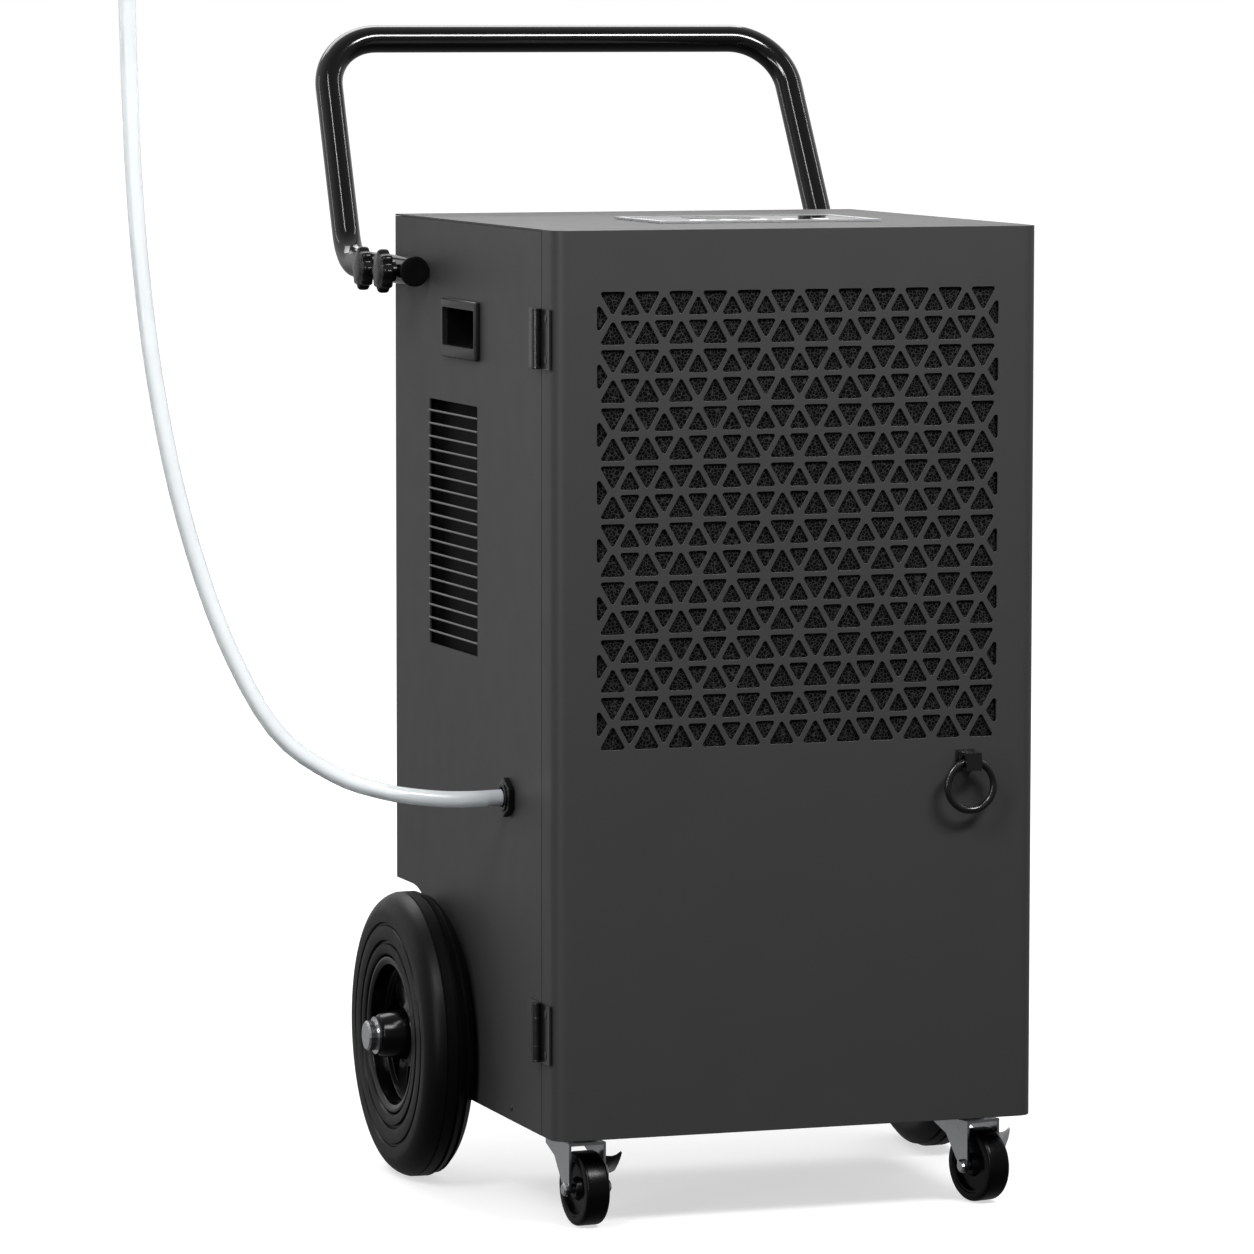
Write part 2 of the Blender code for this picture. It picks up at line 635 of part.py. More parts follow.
def make_carry_cups():
    half = (CUP_LENGTH / 2, CUP_HEIGHT / 2)
    for side, sign in SIDES.items():
        name = f"carry_cup_{side}"
        panel_face = sign * (HALF + GAP)
        flange_face = panel_face + sign * CUP_PROUD
        floor = sign * (HALF - CUP_DEPTH)

        def block(label, xs, sides, below, above, group):
            low = (min(xs), CUP_Y - half[0] - sides, CUP_MID_Z - half[1] - below)
            high = (max(xs), CUP_Y + half[0] + sides, CUP_MID_Z + half[1] + above)
            return box(label, low, high, group)

        cup = block(name, (panel_face, flange_face), CUP_SIDE_RIM, CUP_BOTTOM_RIM, CUP_TOP_RIM, PARTS)
        soften(cup, CUP_EDGE, 2)
        body = block(name + "_body", (floor - sign * CUP_WALL, (panel_face + flange_face) / 2),
                     CUP_WALL, CUP_WALL, CUP_WALL, CUTTERS)
        space = block(name + "_space", (floor, flange_face + sign * CUP_PROUD), 0.0, 0.0, 0.0, CUTTERS)
        combine(cup, body, "UNION")
        finish(combine(cup, space, "DIFFERENCE"), BLACK_PLASTIC)


# ---- door -------------------------------------------------------------------------------------
def triangle(middle_x, base_z, side, points_up):
    height = side * math.sin(HOLE_ANGLE)
    tip = base_z + height if points_up else base_z - height
    return [(middle_x - side / 2, base_z), (middle_x + side / 2, base_z), (middle_x, tip)]


def grille_holes():
    """Triangular lattice, two mirrored rows at a time: (x, z) corners of each hole."""
    first = -(GRILLE_COLUMNS - 1) / 2 * GRILLE_PITCH_X
    edge = GRILLE_WIDTH / 2
    holes = []
    for pair in range(GRILLE_ROW_PAIRS):
        top = GRILLE_TOP_Z - pair * GRILLE_PITCH_Z
        middle = top - GRILLE_PITCH_Z / 2
        bottom = top - GRILLE_PITCH_Z
        for column in range(GRILLE_COLUMNS):
            x = first + column * GRILLE_PITCH_X
            holes.append(triangle(x, top - ROW_BAR / 2, BIG_HOLE, False))
            holes.append(triangle(x, bottom + ROW_BAR / 2, BIG_HOLE, True))
        for column in range(GRILLE_COLUMNS - 1):
            x = first + (column + 0.5) * GRILLE_PITCH_X
            holes.append(triangle(x, middle + ROW_BAR / 2, SMALL_HOLE, True))
            holes.append(triangle(x, middle - ROW_BAR / 2, SMALL_HOLE, False))
        reach = SMALL_HOLE / 2
        for sign in (-1.0, 1.0):
            inner = sign * (edge - EDGE_HOLE_DEPTH)
            holes.append([(sign * edge, middle - reach), (sign * edge, middle + reach), (inner, middle)])
    return holes


def make_door_panel():
    shape = bmesh.new()
    add_box(shape, (-HALF, DOOR_FRONT, BASE_Z), (HALF, DOOR_BACK, TOP_Z))
    shape.normal_update()
    back = [face for face in shape.faces if face.normal.y > 0.9]
    bmesh.ops.delete(shape, geom=back, context="FACES_ONLY")
    front = [edge for edge in shape.edges if all(abs(v.co.y - DOOR_FRONT) < GAP for v in edge.verts)]
    upright = [edge for edge in front if abs(edge.verts[0].co.x - edge.verts[1].co.x) < GAP]
    bmesh.ops.bevel(shape, geom=upright, offset=DOOR_CORNER, segments=5, profile=0.5, affect="EDGES")
    door = object_from("door_panel", shape)
    thicken = door.modifiers.new("sheet", "SOLIDIFY")
    thicken.thickness = SHEET
    thicken.offset = -1.0
    thicken.use_even_offset = True
    holes = flat("grille_holes", grille_holes(), 4 * SHEET, (0.0, DOOR_FRONT + SHEET / 2, 0.0),
                 FACING_FRONT, CUTTERS)
    finish(combine(door, as_mesh(holes), "DIFFERENCE"), POWDER_COAT)


def make_filter():
    width, height = filter_size()
    front = DOOR_FRONT + SHEET + GAP
    middle = front + FILTER_DEPTH / 2
    inner = (width - 2 * FILTER_RIM, height - 2 * FILTER_RIM)
    outlines = [rectangle((0.0, GRILLE_MID_Z), (width, height)), rectangle((0.0, GRILLE_MID_Z), inner)]
    finish(flat("filter_frame", outlines, FILTER_DEPTH, (0.0, middle, 0.0), FACING_FRONT), BLACK_PLASTIC)
    half = ((inner[0] / 2 - GAP), (inner[1] / 2 - GAP))
    foam = box("filter_foam", (-half[0], front, GRILLE_MID_Z - half[1]),
               (half[0], front + FILTER_DEPTH, GRILLE_MID_Z + half[1]))
    finish(foam, FOAM)


def make_ring_pull():
    """The ring hangs in its lug, clear of the door, and flips up about the bore."""
    bore_z = RING_MID_Z + RING_RADIUS
    lug = box("ring_lug", (RING_X - LUG_WIDTH / 2, RING_Y - LUG_REACH, bore_z - LUG_REACH),
              (RING_X + LUG_WIDTH / 2, DOOR_FRONT - GAP, bore_z + LUG_REACH))
    bore = cylinder("ring_lug_bore", LUG_BORE, -LUG_WIDTH, LUG_WIDTH, (RING_X, RING_Y, bore_z), ALONG_X,
                    16, CUTTERS)
    finish(combine(lug, bore, "DIFFERENCE"), BLACK_STEEL)

    profile = circle((RING_RADIUS, 0.0), RING_WIRE, 8)
    profile.reverse()
    ring = turned("ring_pull", profile, 24, True, (RING_X, RING_Y, RING_MID_Z), FACING_FRONT)
    finish(ring, BLACK_STEEL, True)


# ---- hinges -----------------------------------------------------------------------------------
def hinge_axis():
    return (-(HALF + GAP + HINGE_BARREL), DOOR_BACK / 2)


def hinge_leaf(name, direction, middle_z, notches):
    """A leaf with its barrel, cut back in the notches where the other leaf's knuckles turn."""
    x, y = hinge_axis()
    sheet_face = -(HALF + GAP)
    far = y + direction * HINGE_LEAF
    leaf_box = [(sheet_face - HINGE_SHEET, y), (sheet_face, y), (sheet_face, far),
                (sheet_face - HINGE_SHEET, far)]
    leaf = as_mesh(flat(name, [leaf_box], HINGE_HEIGHT, (0.0, 0.0, middle_z)))
    roll = as_mesh(flat(name + "_barrel", [circle((x, y), HINGE_BARREL, 16)], HINGE_HEIGHT,
                        (0.0, 0.0, middle_z), group=CUTTERS))
    bore = cylinder(name + "_bore", HINGE_PIN + GAP / 2, -HINGE_HEIGHT, HINGE_HEIGHT, (x, y, middle_z),
                    steps=12, group=CUTTERS)
    combine(leaf, roll, "UNION")
    combine(leaf, bore, "DIFFERENCE")
    room = HINGE_BARREL + GAP
    for index, (low, high) in enumerate(notches):
        notch = box(f"{name}_notch_{index}", (x - room, y - room, middle_z + low),
                    (x + 2 * room, y + room, middle_z + high), CUTTERS)
        combine(leaf, notch, "DIFFERENCE")
    return finish(leaf, BLACK_STEEL)


def make_hinges():
    x, y = hinge_axis()
    knuckle = HINGE_HEIGHT / 6           # half of the door leaf's knuckle, the middle one of three
    middle_notch = [(-knuckle - GAP, knuckle + GAP)]
    end_notches = [(-HINGE_HEIGHT, -knuckle), (knuckle, HINGE_HEIGHT)]
    for place_name, middle in HINGE_ZS.items():
        hinge_leaf(f"{place_name}_hinge_frame_leaf", 1.0, middle, middle_notch)
        hinge_leaf(f"{place_name}_hinge_door_leaf", -1.0, middle, end_notches)
        pin = cylinder(f"{place_name}_hinge_pin", HINGE_PIN - GAP / 2, -HINGE_HEIGHT / 2, HINGE_HEIGHT / 2,
                       (x, y, middle), steps=12)
        finish(pin, BLACK_STEEL, True)


# ---- control panel ----------------------------------------------------------------------------
def make_control_panel():
    rim = (PANEL_LENGTH, PANEL_DEPTH)
    inside = (PANEL_LENGTH - 2 * PANEL_RIM, PANEL_DEPTH - 2 * PANEL_RIM)
    hole = (inside[0] - 2 * SHEET, inside[1] - 2 * SHEET)
    middle = (PANEL_X, PANEL_Y)
    bezel = as_mesh(flat("control_bezel", [rectangle(middle, rim), rectangle(middle, hole)], PANEL_PROUD,
                         (0.0, 0.0, TOP_Z + GAP + PANEL_PROUD / 2)))
    finish(bezel, SILVER_TRIM)
    low = (PANEL_X - hole[0] / 2 + GAP, PANEL_Y - hole[1] / 2 + GAP, TOP_Z - PANEL_BODY)
    high = (PANEL_X + hole[0] / 2 - GAP, PANEL_Y + hole[1] / 2 - GAP, TOP_Z + PANEL_PROUD)
    finish(box("control_unit", low, high), GLOSS_PANEL)


# ---- drain outlet and hose --------------------------------------------------------------------
def make_outlet():
    middle_z = BASE_Z + OUTLET_Z
    outer = -(HALF + GAP)
    bore = HOSE_RADIUS - OUTLET_WALL
    shape = bmesh.new()
    turn = Matrix.Translation((0.0, OUTLET_Y, middle_z)) @ Matrix.Rotation(math.pi / 2, 4, "Y")
    add_cylinder(shape, OUTLET_NUT / 2, outer - OUTLET_NUT_LENGTH, outer, 6, turn)
    outlet = object_from("hose_outlet", shape)
    body = cylinder("hose_outlet_body", OUTLET_BODY / 2, outer - 0.5 * OUTLET_NUT_LENGTH,
                    outer + OUTLET_REACH, (0.0, OUTLET_Y, middle_z), ALONG_X, 16, CUTTERS)
    way = cylinder("hose_outlet_bore", bore, outer - 2 * OUTLET_NUT_LENGTH, outer + 2 * OUTLET_REACH,
                   (0.0, OUTLET_Y, middle_z), ALONG_X, 12, CUTTERS)
    combine(outlet, body, "UNION")
    finish(combine(outlet, way, "DIFFERENCE"), BLACK_PLASTIC)


def hose_points():
    start = -(HALF + GAP + OUTLET_NUT_LENGTH + GAP)
    route = [Vector((start - out, OUTLET_Y, BASE_Z + OUTLET_Z + up)) for out, up in HOSE_ROUTE]
    return smooth_path(route, HOSE_SPACING)


def make_hose():
    points = hose_points()
    finish(tube("drain_hose", points, HOSE_RADIUS, HOSE_SIDE_RESOLUTION), CLEAR_PVC)
    end = points[-1]
    ahead = (points[-1] - points[-2]).normalized()
    tail = turned("hose_tail", [
        (0.0, TAIL_LENGTH), (TAIL_RADIUS * 0.55, TAIL_LENGTH), (TAIL_RADIUS * 0.85, TAIL_LENGTH * 0.62),
        (TAIL_RADIUS * 0.60, TAIL_LENGTH * 0.60), (TAIL_RADIUS * 0.60, TAIL_LENGTH * 0.45),
        (TAIL_RADIUS, TAIL_LENGTH * 0.40), (TAIL_RADIUS, 0.0), (0.0, 0.0)], 12, False)
    tail.rotation_euler = ahead.to_track_quat("Z", "Y").to_euler()
    tail.location = end + ahead * GAP
    finish(tail, BLACK_PLASTIC, True)


# ---- rear wheels ------------------------------------------------------------------------------
def make_rear_wheels():
    half = TYRE_WIDTH / 2
    shoulder = min(TYRE_SHOULDER, 0.9 * half)
    tread = half - shoulder
    tyre_inner = RIM_RADIUS + GAP
    for side, sign in SIDES.items():
        middle = (sign * (HALF + WHEEL_SIDE_GAP + half), AXLE_Y, AXLE_Z)
        upper = arc((WHEEL_RADIUS - shoulder, tread), shoulder, 90.0, 0.0, 4)
        lower = [(r, -h) for r, h in reversed(upper)]
        bead = RIM_WIDTH / 2
        profile = upper + lower + [(tyre_inner, -bead), (tyre_inner, bead)]
        tyre = turned(f"rear_tyre_{side}", profile, WHEEL_STEPS, True, middle, ALONG_X)
        finish(tyre, RUBBER, True)
        make_rim(side, sign, middle)
        make_axle_nut(side, sign)
    axle = cylinder("rear_axle", AXLE_RADIUS, -axle_half(), axle_half(), (0.0, AXLE_Y, AXLE_Z), ALONG_X, 16)
    finish(axle, ZINC, True)


def hub_face():
    """Outer face of the wheel hub, from the middle of the cabinet."""
    return HALF + WHEEL_SIDE_GAP + TYRE_WIDTH + HUB_REACH


def axle_half():
    return hub_face() + GAP + NUT_FLANGE


def make_rim(side, sign, middle):
    half = RIM_WIDTH / 2
    outside = TYRE_WIDTH / 2 + HUB_REACH
    inside = -TYRE_WIDTH / 2
    bore = AXLE_RADIUS + RUN_GAP
    inner = RIM_RADIUS - RIM_WALL
    web = RIM_WEB / 2
    out, back = (outside, inside) if sign > 0 else (-inside, -outside)
    profile = [(RIM_RADIUS, half), (RIM_RADIUS, -half), (inner, -half), (inner, -web), (HUB_RADIUS, -web),
               (HUB_RADIUS, back), (bore, back), (bore, out), (HUB_RADIUS, out), (HUB_RADIUS, web),
               (inner, web), (inner, half)]
    rim = turned(f"rear_rim_{side}", profile, WHEEL_STEPS, True, middle, ALONG_X)
    window = (inner - HUB_RADIUS) / 2 * 0.80
    radius = (inner + HUB_RADIUS) / 2
    windows = bmesh.new()
    for spoke in range(SPOKES):
        angle = math.tau * (spoke + 0.5) / SPOKES
        aside = Matrix.Translation((radius * math.cos(angle), radius * math.sin(angle), 0.0))
        add_cylinder(windows, window, -RIM_WEB, RIM_WEB, 12, aside)
    cut = object_from(f"rear_rim_{side}_windows", windows, middle, ALONG_X, CUTTERS)
    combine(rim, cut, "DIFFERENCE")
    finish(rim, GLOSS_BLACK, True)


def make_axle_nut(side, sign):
    face = hub_face() + GAP
    bore = AXLE_RADIUS + GAP
    depth = NUT_FLANGE + GAP
    levels = [(0.0, depth), (bore, depth), (bore, 0.0), (NUT_FLANGE_RADIUS, 0.0),
              (NUT_FLANGE_RADIUS, NUT_FLANGE), (NUT_RADIUS, NUT_FLANGE), (NUT_RADIUS, NUT_LENGTH),
              (NUT_RADIUS - NUT_EDGE, NUT_LENGTH + NUT_EDGE), (0.0, NUT_LENGTH + NUT_EDGE)]
    profile = list(reversed(levels)) if sign > 0 else [(r, -h) for r, h in levels]
    nut = turned(f"axle_nut_{side}", profile, 20, False, (sign * face, AXLE_Y, AXLE_Z), ALONG_X)
    finish(nut, ZINC, True)


# ---- front castors ----------------------------------------------------------------------------
def castor_matrix(side, sign):
    """Frame of one castor: its own -Y points where the wheel trails, z from the floor."""
    swivel = (sign * (HALF - CASTOR_INSET), CASTOR_Y, 0.0)
    return Matrix.Translation(swivel) @ Matrix.Rotation(CASTOR_YAWS[side], 4, "Z")


def set_frame(thing, frame):
    thing.location = frame.to_translation() + Vector(frame.to_3x3() @ thing.location)
    turned_by = frame.to_3x3() @ thing.rotation_euler.to_matrix()
    thing.rotation_euler = turned_by.to_euler()
    return thing


def fork_half():
    return CASTOR_WHEEL_WIDTH / 2 + FORK_SIDE_GAP


def make_castor_plate(side, sign):
    top = BASE_Z - GAP
    low = top - CASTOR_PLATE_SHEET
    half = CASTOR_PLATE / 2
    x = sign * (HALF - CASTOR_INSET)
    y = max(CASTOR_Y, half + DOOR_GAP)
    plate = box(f"castor_plate_{side}", (x - half, y - half, low), (x + half, y + half, top))
    race = cylinder(f"castor_plate_{side}_race", CASTOR_RACE_RADIUS, low - CASTOR_RACE, low + 0.001,
                    (x, CASTOR_Y, 0.0), steps=20, group=CUTTERS)
    finish(combine(plate, race, "UNION"), ZINC)


def make_castor_fork(side, frame):
    crown_top = BASE_Z - GAP - CASTOR_PLATE_SHEET - CASTOR_RACE - GAP
    crown_low = crown_top - FORK_SHEET
    half = fork_half()
    axle_y = -CASTOR_TRAIL
    front = axle_y - FORK_TIP
    back = front + FORK_CROWN
    cheek = ([(front, crown_top)] + [(front, CASTOR_AXLE_Z)]
             + arc((axle_y, CASTOR_AXLE_Z), FORK_TIP, 180.0, 360.0, 6)[1:]
             + [(axle_y + FORK_WAIST[0], crown_low - FORK_WAIST[1]), (back, crown_low - FORK_HEEL),
                (back, crown_top)])
    span = 2 * (half + FORK_SHEET)
    fork = as_mesh(flat(f"castor_fork_{side}", [cheek], span, rotation=FACING_SIDE))
    room = box(f"castor_fork_{side}_room", (-half, front - span, 0.0), (half, back + span, crown_low),
               CUTTERS)
    bore = cylinder(f"castor_fork_{side}_bore", CASTOR_BOLT + GAP, -span, span,
                    (0.0, axle_y, CASTOR_AXLE_Z), ALONG_X, 12, CUTTERS)
    for thing in (fork, room, bore):
        set_frame(thing, frame)
    combine(fork, room, "DIFFERENCE")
    finish(combine(fork, bore, "DIFFERENCE"), ZINC)


def make_castor_wheel(side, frame):
    half = CASTOR_WHEEL_WIDTH / 2
    radius = CASTOR_WHEEL_RADIUS
    bore = CASTOR_BOLT + RUN_GAP
    hub = CASTOR_HUB_RADIUS
    edge = CASTOR_TREAD_EDGE
    web = half - CASTOR_WEB_INSET
    profile = [(radius - edge, half), (radius, half - 2 * edge), (radius, 2 * edge - half),
               (radius - edge, -half), (CASTOR_WEB_RADIUS, -half), (CASTOR_WEB_RADIUS, -web), (hub, -web),
               (hub, -half), (bore, -half), (bore, half), (hub, half), (hub, web), (CASTOR_WEB_RADIUS, web),
               (CASTOR_WEB_RADIUS, half)]
    wheel = turned(f"castor_wheel_{side}", profile, 18, True, (0.0, -CASTOR_TRAIL, CASTOR_AXLE_Z), ALONG_X)
    finish(set_frame(wheel, frame), RUBBER, True)


def make_castor_bolt(side, frame):
    """Bolt through the fork, the wheel and the brake lever, with a round head at each end."""
    left = -(fork_half() + FORK_SHEET + GAP)
    right = fork_half() + FORK_SHEET + BRAKE_SHEET + 3 * GAP
    head = CASTOR_BOLT_HEAD_LENGTH
    shank, wide = CASTOR_BOLT, CASTOR_BOLT_HEAD
    profile = [(0.0, right + head), (wide * 0.7, right + head), (wide, right + head * 0.6), (wide, right),
               (shank, right), (shank, left), (wide, left), (wide, left - head * 0.6),
               (wide * 0.7, left - head), (0.0, left - head)]
    bolt = turned(f"castor_bolt_{side}", profile, 12, False, (0.0, -CASTOR_TRAIL, CASTOR_AXLE_Z), ALONG_X)
    finish(set_frame(bolt, frame), ZINC, True)


def make_castor_brake(side, frame):
    """Lever on the right-hand cheek, with a pedal that rises outwards."""
    inner = fork_half() + FORK_SHEET + GAP
    axle_y, axle_z = -CASTOR_TRAIL, CASTOR_AXLE_Z
    pedal_z = axle_z + BRAKE_PEDAL_RISE
    eye = BRAKE_EYE
    blade = (arc((axle_y, axle_z), eye, 180.0, 360.0, 8)
             + [(axle_y + eye, pedal_z + 2 * BRAKE_SHEET), (axle_y - eye, pedal_z + 2 * BRAKE_SHEET)])
    lever = as_mesh(flat(f"castor_brake_{side}", [blade], BRAKE_SHEET,
                         (inner + BRAKE_SHEET / 2, 0.0, 0.0), FACING_SIDE))
    half = BRAKE_PEDAL_LENGTH / 2
    reach = BRAKE_PEDAL_REACH
    outline = [(0.0, -eye), (reach * 0.5, -half), (reach, -half * 0.55), (reach, half * 0.35),
               (reach * 0.5, eye), (0.0, eye)]
    foot = (inner + BRAKE_SHEET / 2, axle_y, pedal_z)
    pedal = as_mesh(flat(f"castor_brake_{side}_pedal", [outline], BRAKE_SHEET, foot,
                         (0.0, -BRAKE_PEDAL_TILT, 0.0), CUTTERS))
    bore = cylinder(f"castor_brake_{side}_bore", CASTOR_BOLT + GAP, 0.0, inner + reach,
                    (0.0, axle_y, axle_z), ALONG_X, 12, CUTTERS)
    for thing in (lever, pedal, bore):
        set_frame(thing, frame)
    combine(lever, pedal, "UNION")
    finish(combine(lever, bore, "DIFFERENCE"), ZINC)


def make_castors():
    for side, sign in SIDES.items():
        frame = castor_matrix(side, sign)
        make_castor_plate(side, sign)
        make_castor_fork(side, frame)
        make_castor_wheel(side, frame)
        make_castor_bolt(side, frame)
        make_castor_brake(side, frame)


# ---- handle -----------------------------------------------------------------------------------
def handle_path():
    left = [(-ARM_X, ARM_FRONT, ARM_HEIGHT), (-ARM_X, ARM_ELBOW, ARM_HEIGHT),
            (-HANDLE_TOP_HALF, HANDLE_TOP_Y, HANDLE_TOP_Z)]
    right = [(-x, y, z) for x, y, z in reversed(left)]
    radii = [ELBOW_RADIUS, SHOULDER_RADIUS, SHOULDER_RADIUS, ELBOW_RADIUS]
    return rounded_path(left + right, radii, 4)


def make_handle():
    path = handle_path()
    handle = as_mesh(tube("handle_tube", path, TUBE_RADIUS, TUBE_RESOLUTION))
    overshoot = Vector((0.0, -END_CAP, 0.0))
    hollow = [path[0] + overshoot] + path[1:-1] + [path[-1] + overshoot]
    inside = as_mesh(tube("handle_tube_inside", hollow, TUBE_RADIUS - TUBE_WALL, TUBE_RESOLUTION, CUTTERS))
    combine(handle, inside, "DIFFERENCE", "MANIFOLD")
    for place_name, y in KNOB_YS.items():
        hole = cylinder(f"handle_{place_name}_hole", KNOB_STUD + GAP, -CABINET_WIDTH, CABINET_WIDTH,
                        (0.0, y, ARM_HEIGHT), ALONG_X, 8, CUTTERS)
        combine(handle, hole, "DIFFERENCE", "MANIFOLD")
    finish(handle, GLOSS_BLACK, True)
    for side, sign in SIDES.items():
        cap = cylinder(f"handle_cap_{side}", TUBE_RADIUS + END_CAP_LIP, GAP, END_CAP,
                       (sign * ARM_X, ARM_FRONT, ARM_HEIGHT), (math.pi / 2, 0.0, 0.0), 20)
        finish(soften(cap, 1.5 * END_CAP_LIP), BLACK_PLASTIC)
        for place_name, y in KNOB_YS.items():
            make_knob(f"{place_name}_knob_{side}", sign, y)


def knob_outline():
    points = []
    steps = KNOB_LOBES * 4
    for i in range(steps):
        angle = math.tau * i / steps
        radius = KNOB_RADIUS - KNOB_WAVE + KNOB_WAVE * math.cos(KNOB_LOBES * angle)
        points.append((radius * math.cos(angle), radius * math.sin(angle)))
    return points


def make_knob(name, sign, y):
    """Star knob with its boss against the tube and its stud through it, up to the side panel."""
    tube_face = ARM_X + TUBE_RADIUS + GAP
    grip = tube_face + KNOB_BOSS
    middle = sign * (grip + KNOB_BODY / 2)
    knob = as_mesh(flat(name, [knob_outline()], KNOB_BODY, (middle, y, ARM_HEIGHT), FACING_SIDE))
    stem = bmesh.new()
    across = Matrix.Rotation(math.pi / 2, 4, "Y")
    ends = sorted((sign * tube_face, sign * (grip + KNOB_BODY / 2)))
    add_cylinder(stem, KNOB_BOSS_RADIUS, *ends, 16, across)
    boss = object_from(name + "_boss", stem, (0.0, y, ARM_HEIGHT), group=CUTTERS)
    ends = sorted((sign * (HALF + GAP), sign * (grip + KNOB_BODY / 4)))
    rod = bmesh.new()
    add_cylinder(rod, KNOB_STUD, *ends, 12, across)
    stud = object_from(name + "_stud", rod, (0.0, y, ARM_HEIGHT), group=CUTTERS)
    combine(knob, boss, "UNION")
    finish(combine(knob, stud, "UNION"), BLACK_PLASTIC, True)


# ---- inside -----------------------------------------------------------------------------------
def coil_block(name, front, depth):
    """Fin block; shallow grooves across it stand for the rows of tubes between the fins."""
    pitch = COIL_HEIGHT / COIL_GROOVES
    outline = [(front, COIL_LOW_Z)]
    for groove in range(COIL_GROOVES):
        top = COIL_LOW_Z + (groove + 1) * pitch
        floor = front + COIL_GROOVE_DEPTH
        outline += [(front, top - COIL_GROOVE_SHARE * pitch), (floor, top - COIL_GROOVE_SHARE * pitch)]
        outline += [(floor, top), (front, top)]
    outline = outline[:-1] + [(front + depth, COIL_LOW_Z + COIL_HEIGHT), (front + depth, COIL_LOW_Z)]
    return finish(flat(name, [outline], COIL_WIDTH, rotation=FACING_SIDE), ALUMINIUM)


def shroud_front():
    return EVAPORATOR_Y + EVAPORATOR_DEPTH + COIL_SPACING + CONDENSER_DEPTH + SHROUD_GAP


def make_coils():
    coil_block("evaporator", EVAPORATOR_Y, EVAPORATOR_DEPTH)
    coil_block("condenser", EVAPORATOR_Y + EVAPORATOR_DEPTH + COIL_SPACING, CONDENSER_DEPTH)
    back = EVAPORATOR_Y + EVAPORATOR_DEPTH + COIL_SPACING + CONDENSER_DEPTH
    top = COIL_LOW_Z - GAP
    tray = shell("condensate_tray", (-COIL_WIDTH / 2, EVAPORATOR_Y, top - TRAY_HEIGHT),
                 (COIL_WIDTH / 2, back, top), (0.0, 0.0, 1.0), SHEET)
    finish(tray, WHITE_PLASTIC)


def fan_middle():
    return (0.0, COIL_LOW_Z + COIL_HEIGHT / 2)


def make_fan():
    x, z = fan_middle()
    front = shroud_front()
    outlines = [rectangle((x, z), (COIL_WIDTH, COIL_HEIGHT)), circle((x, z), FAN_RADIUS + FAN_TIP_GAP, 28)]
    shroud = as_mesh(flat("fan_shroud", outlines, SHEET, (0.0, front + SHEET / 2, 0.0), FACING_FRONT))
    fan_reach = max(FAN_CHORD * math.sin(FAN_PITCH), FAN_HUB_LENGTH) / 2
    strap_y = front + SHEET / 2 + fan_reach + STRAP_GAP
    half = COIL_WIDTH / 2
    strap_shape = bmesh.new()
    add_box(strap_shape, (-half, strap_y, z - MOTOR_STRAP / 2), (half, strap_y + SHEET, z + MOTOR_STRAP / 2))
    strap = object_from("fan_shroud_strap", strap_shape, group=CUTTERS)
    combine(shroud, strap, "UNION")
    for side, sign in SIDES.items():
        ends = sorted((sign * half, sign * (half - SHEET)))
        leg = box(f"fan_shroud_leg_{side}", (ends[0], front + SHEET / 2, z - MOTOR_STRAP / 2),
                  (ends[1], strap_y + SHEET / 2, z + MOTOR_STRAP / 2), CUTTERS)
        combine(shroud, leg, "UNION")
    way = cylinder("fan_shroud_shaft_hole", MOTOR_SHAFT + 3 * GAP, -SHEET, 2 * SHEET, (x, strap_y, z),
                   ALONG_Y, 12, CUTTERS)
    finish(combine(shroud, way, "DIFFERENCE"), WHITE_PLASTIC)

    hub_mid = front + SHEET / 2
    motor_face = strap_y + SHEET + GAP
    shaft_end = hub_mid + FAN_HUB_LENGTH * 0.2
    profile = [(0.0, MOTOR_LENGTH), (MOTOR_RADIUS * 0.8, MOTOR_LENGTH), (MOTOR_RADIUS, MOTOR_LENGTH * 0.85),
               (MOTOR_RADIUS, 0.0), (MOTOR_SHAFT, 0.0), (MOTOR_SHAFT, shaft_end - motor_face),
               (0.0, shaft_end - motor_face)]
    motor = turned("fan_motor", profile, 20, False, (x, motor_face, z), ALONG_Y)
    finish(motor, BLACK_STEEL, True)

    impeller = cylinder("fan_impeller", FAN_HUB_RADIUS, -FAN_HUB_LENGTH / 2, FAN_HUB_LENGTH / 2,
                        (x, hub_mid, z), ALONG_Y, 20)
    for number in range(FAN_BLADES):
        shape = bmesh.new()
        add_box(shape, (FAN_HUB_RADIUS * 0.8, -FAN_CHORD / 2, -FAN_BLADE / 2),
                (FAN_RADIUS, FAN_CHORD / 2, FAN_BLADE / 2))
        pitch = Matrix.Rotation(FAN_PITCH, 4, "X")
        turn = Matrix.Rotation(math.tau * number / FAN_BLADES, 4, "Z")
        bmesh.ops.transform(shape, matrix=turn @ pitch, verts=shape.verts)
        blade = object_from(f"fan_blade_{number}", shape, (x, hub_mid, z), ALONG_Y, CUTTERS)
        combine(impeller, blade, "UNION")
    bore = cylinder("fan_impeller_bore", MOTOR_SHAFT + GAP, -FAN_HUB_LENGTH / 2 + 0.006, FAN_HUB_LENGTH,
                    (x, hub_mid, z), ALONG_Y, 12, CUTTERS)
    finish(combine(impeller, bore, "DIFFERENCE"), BLACK_PLASTIC)


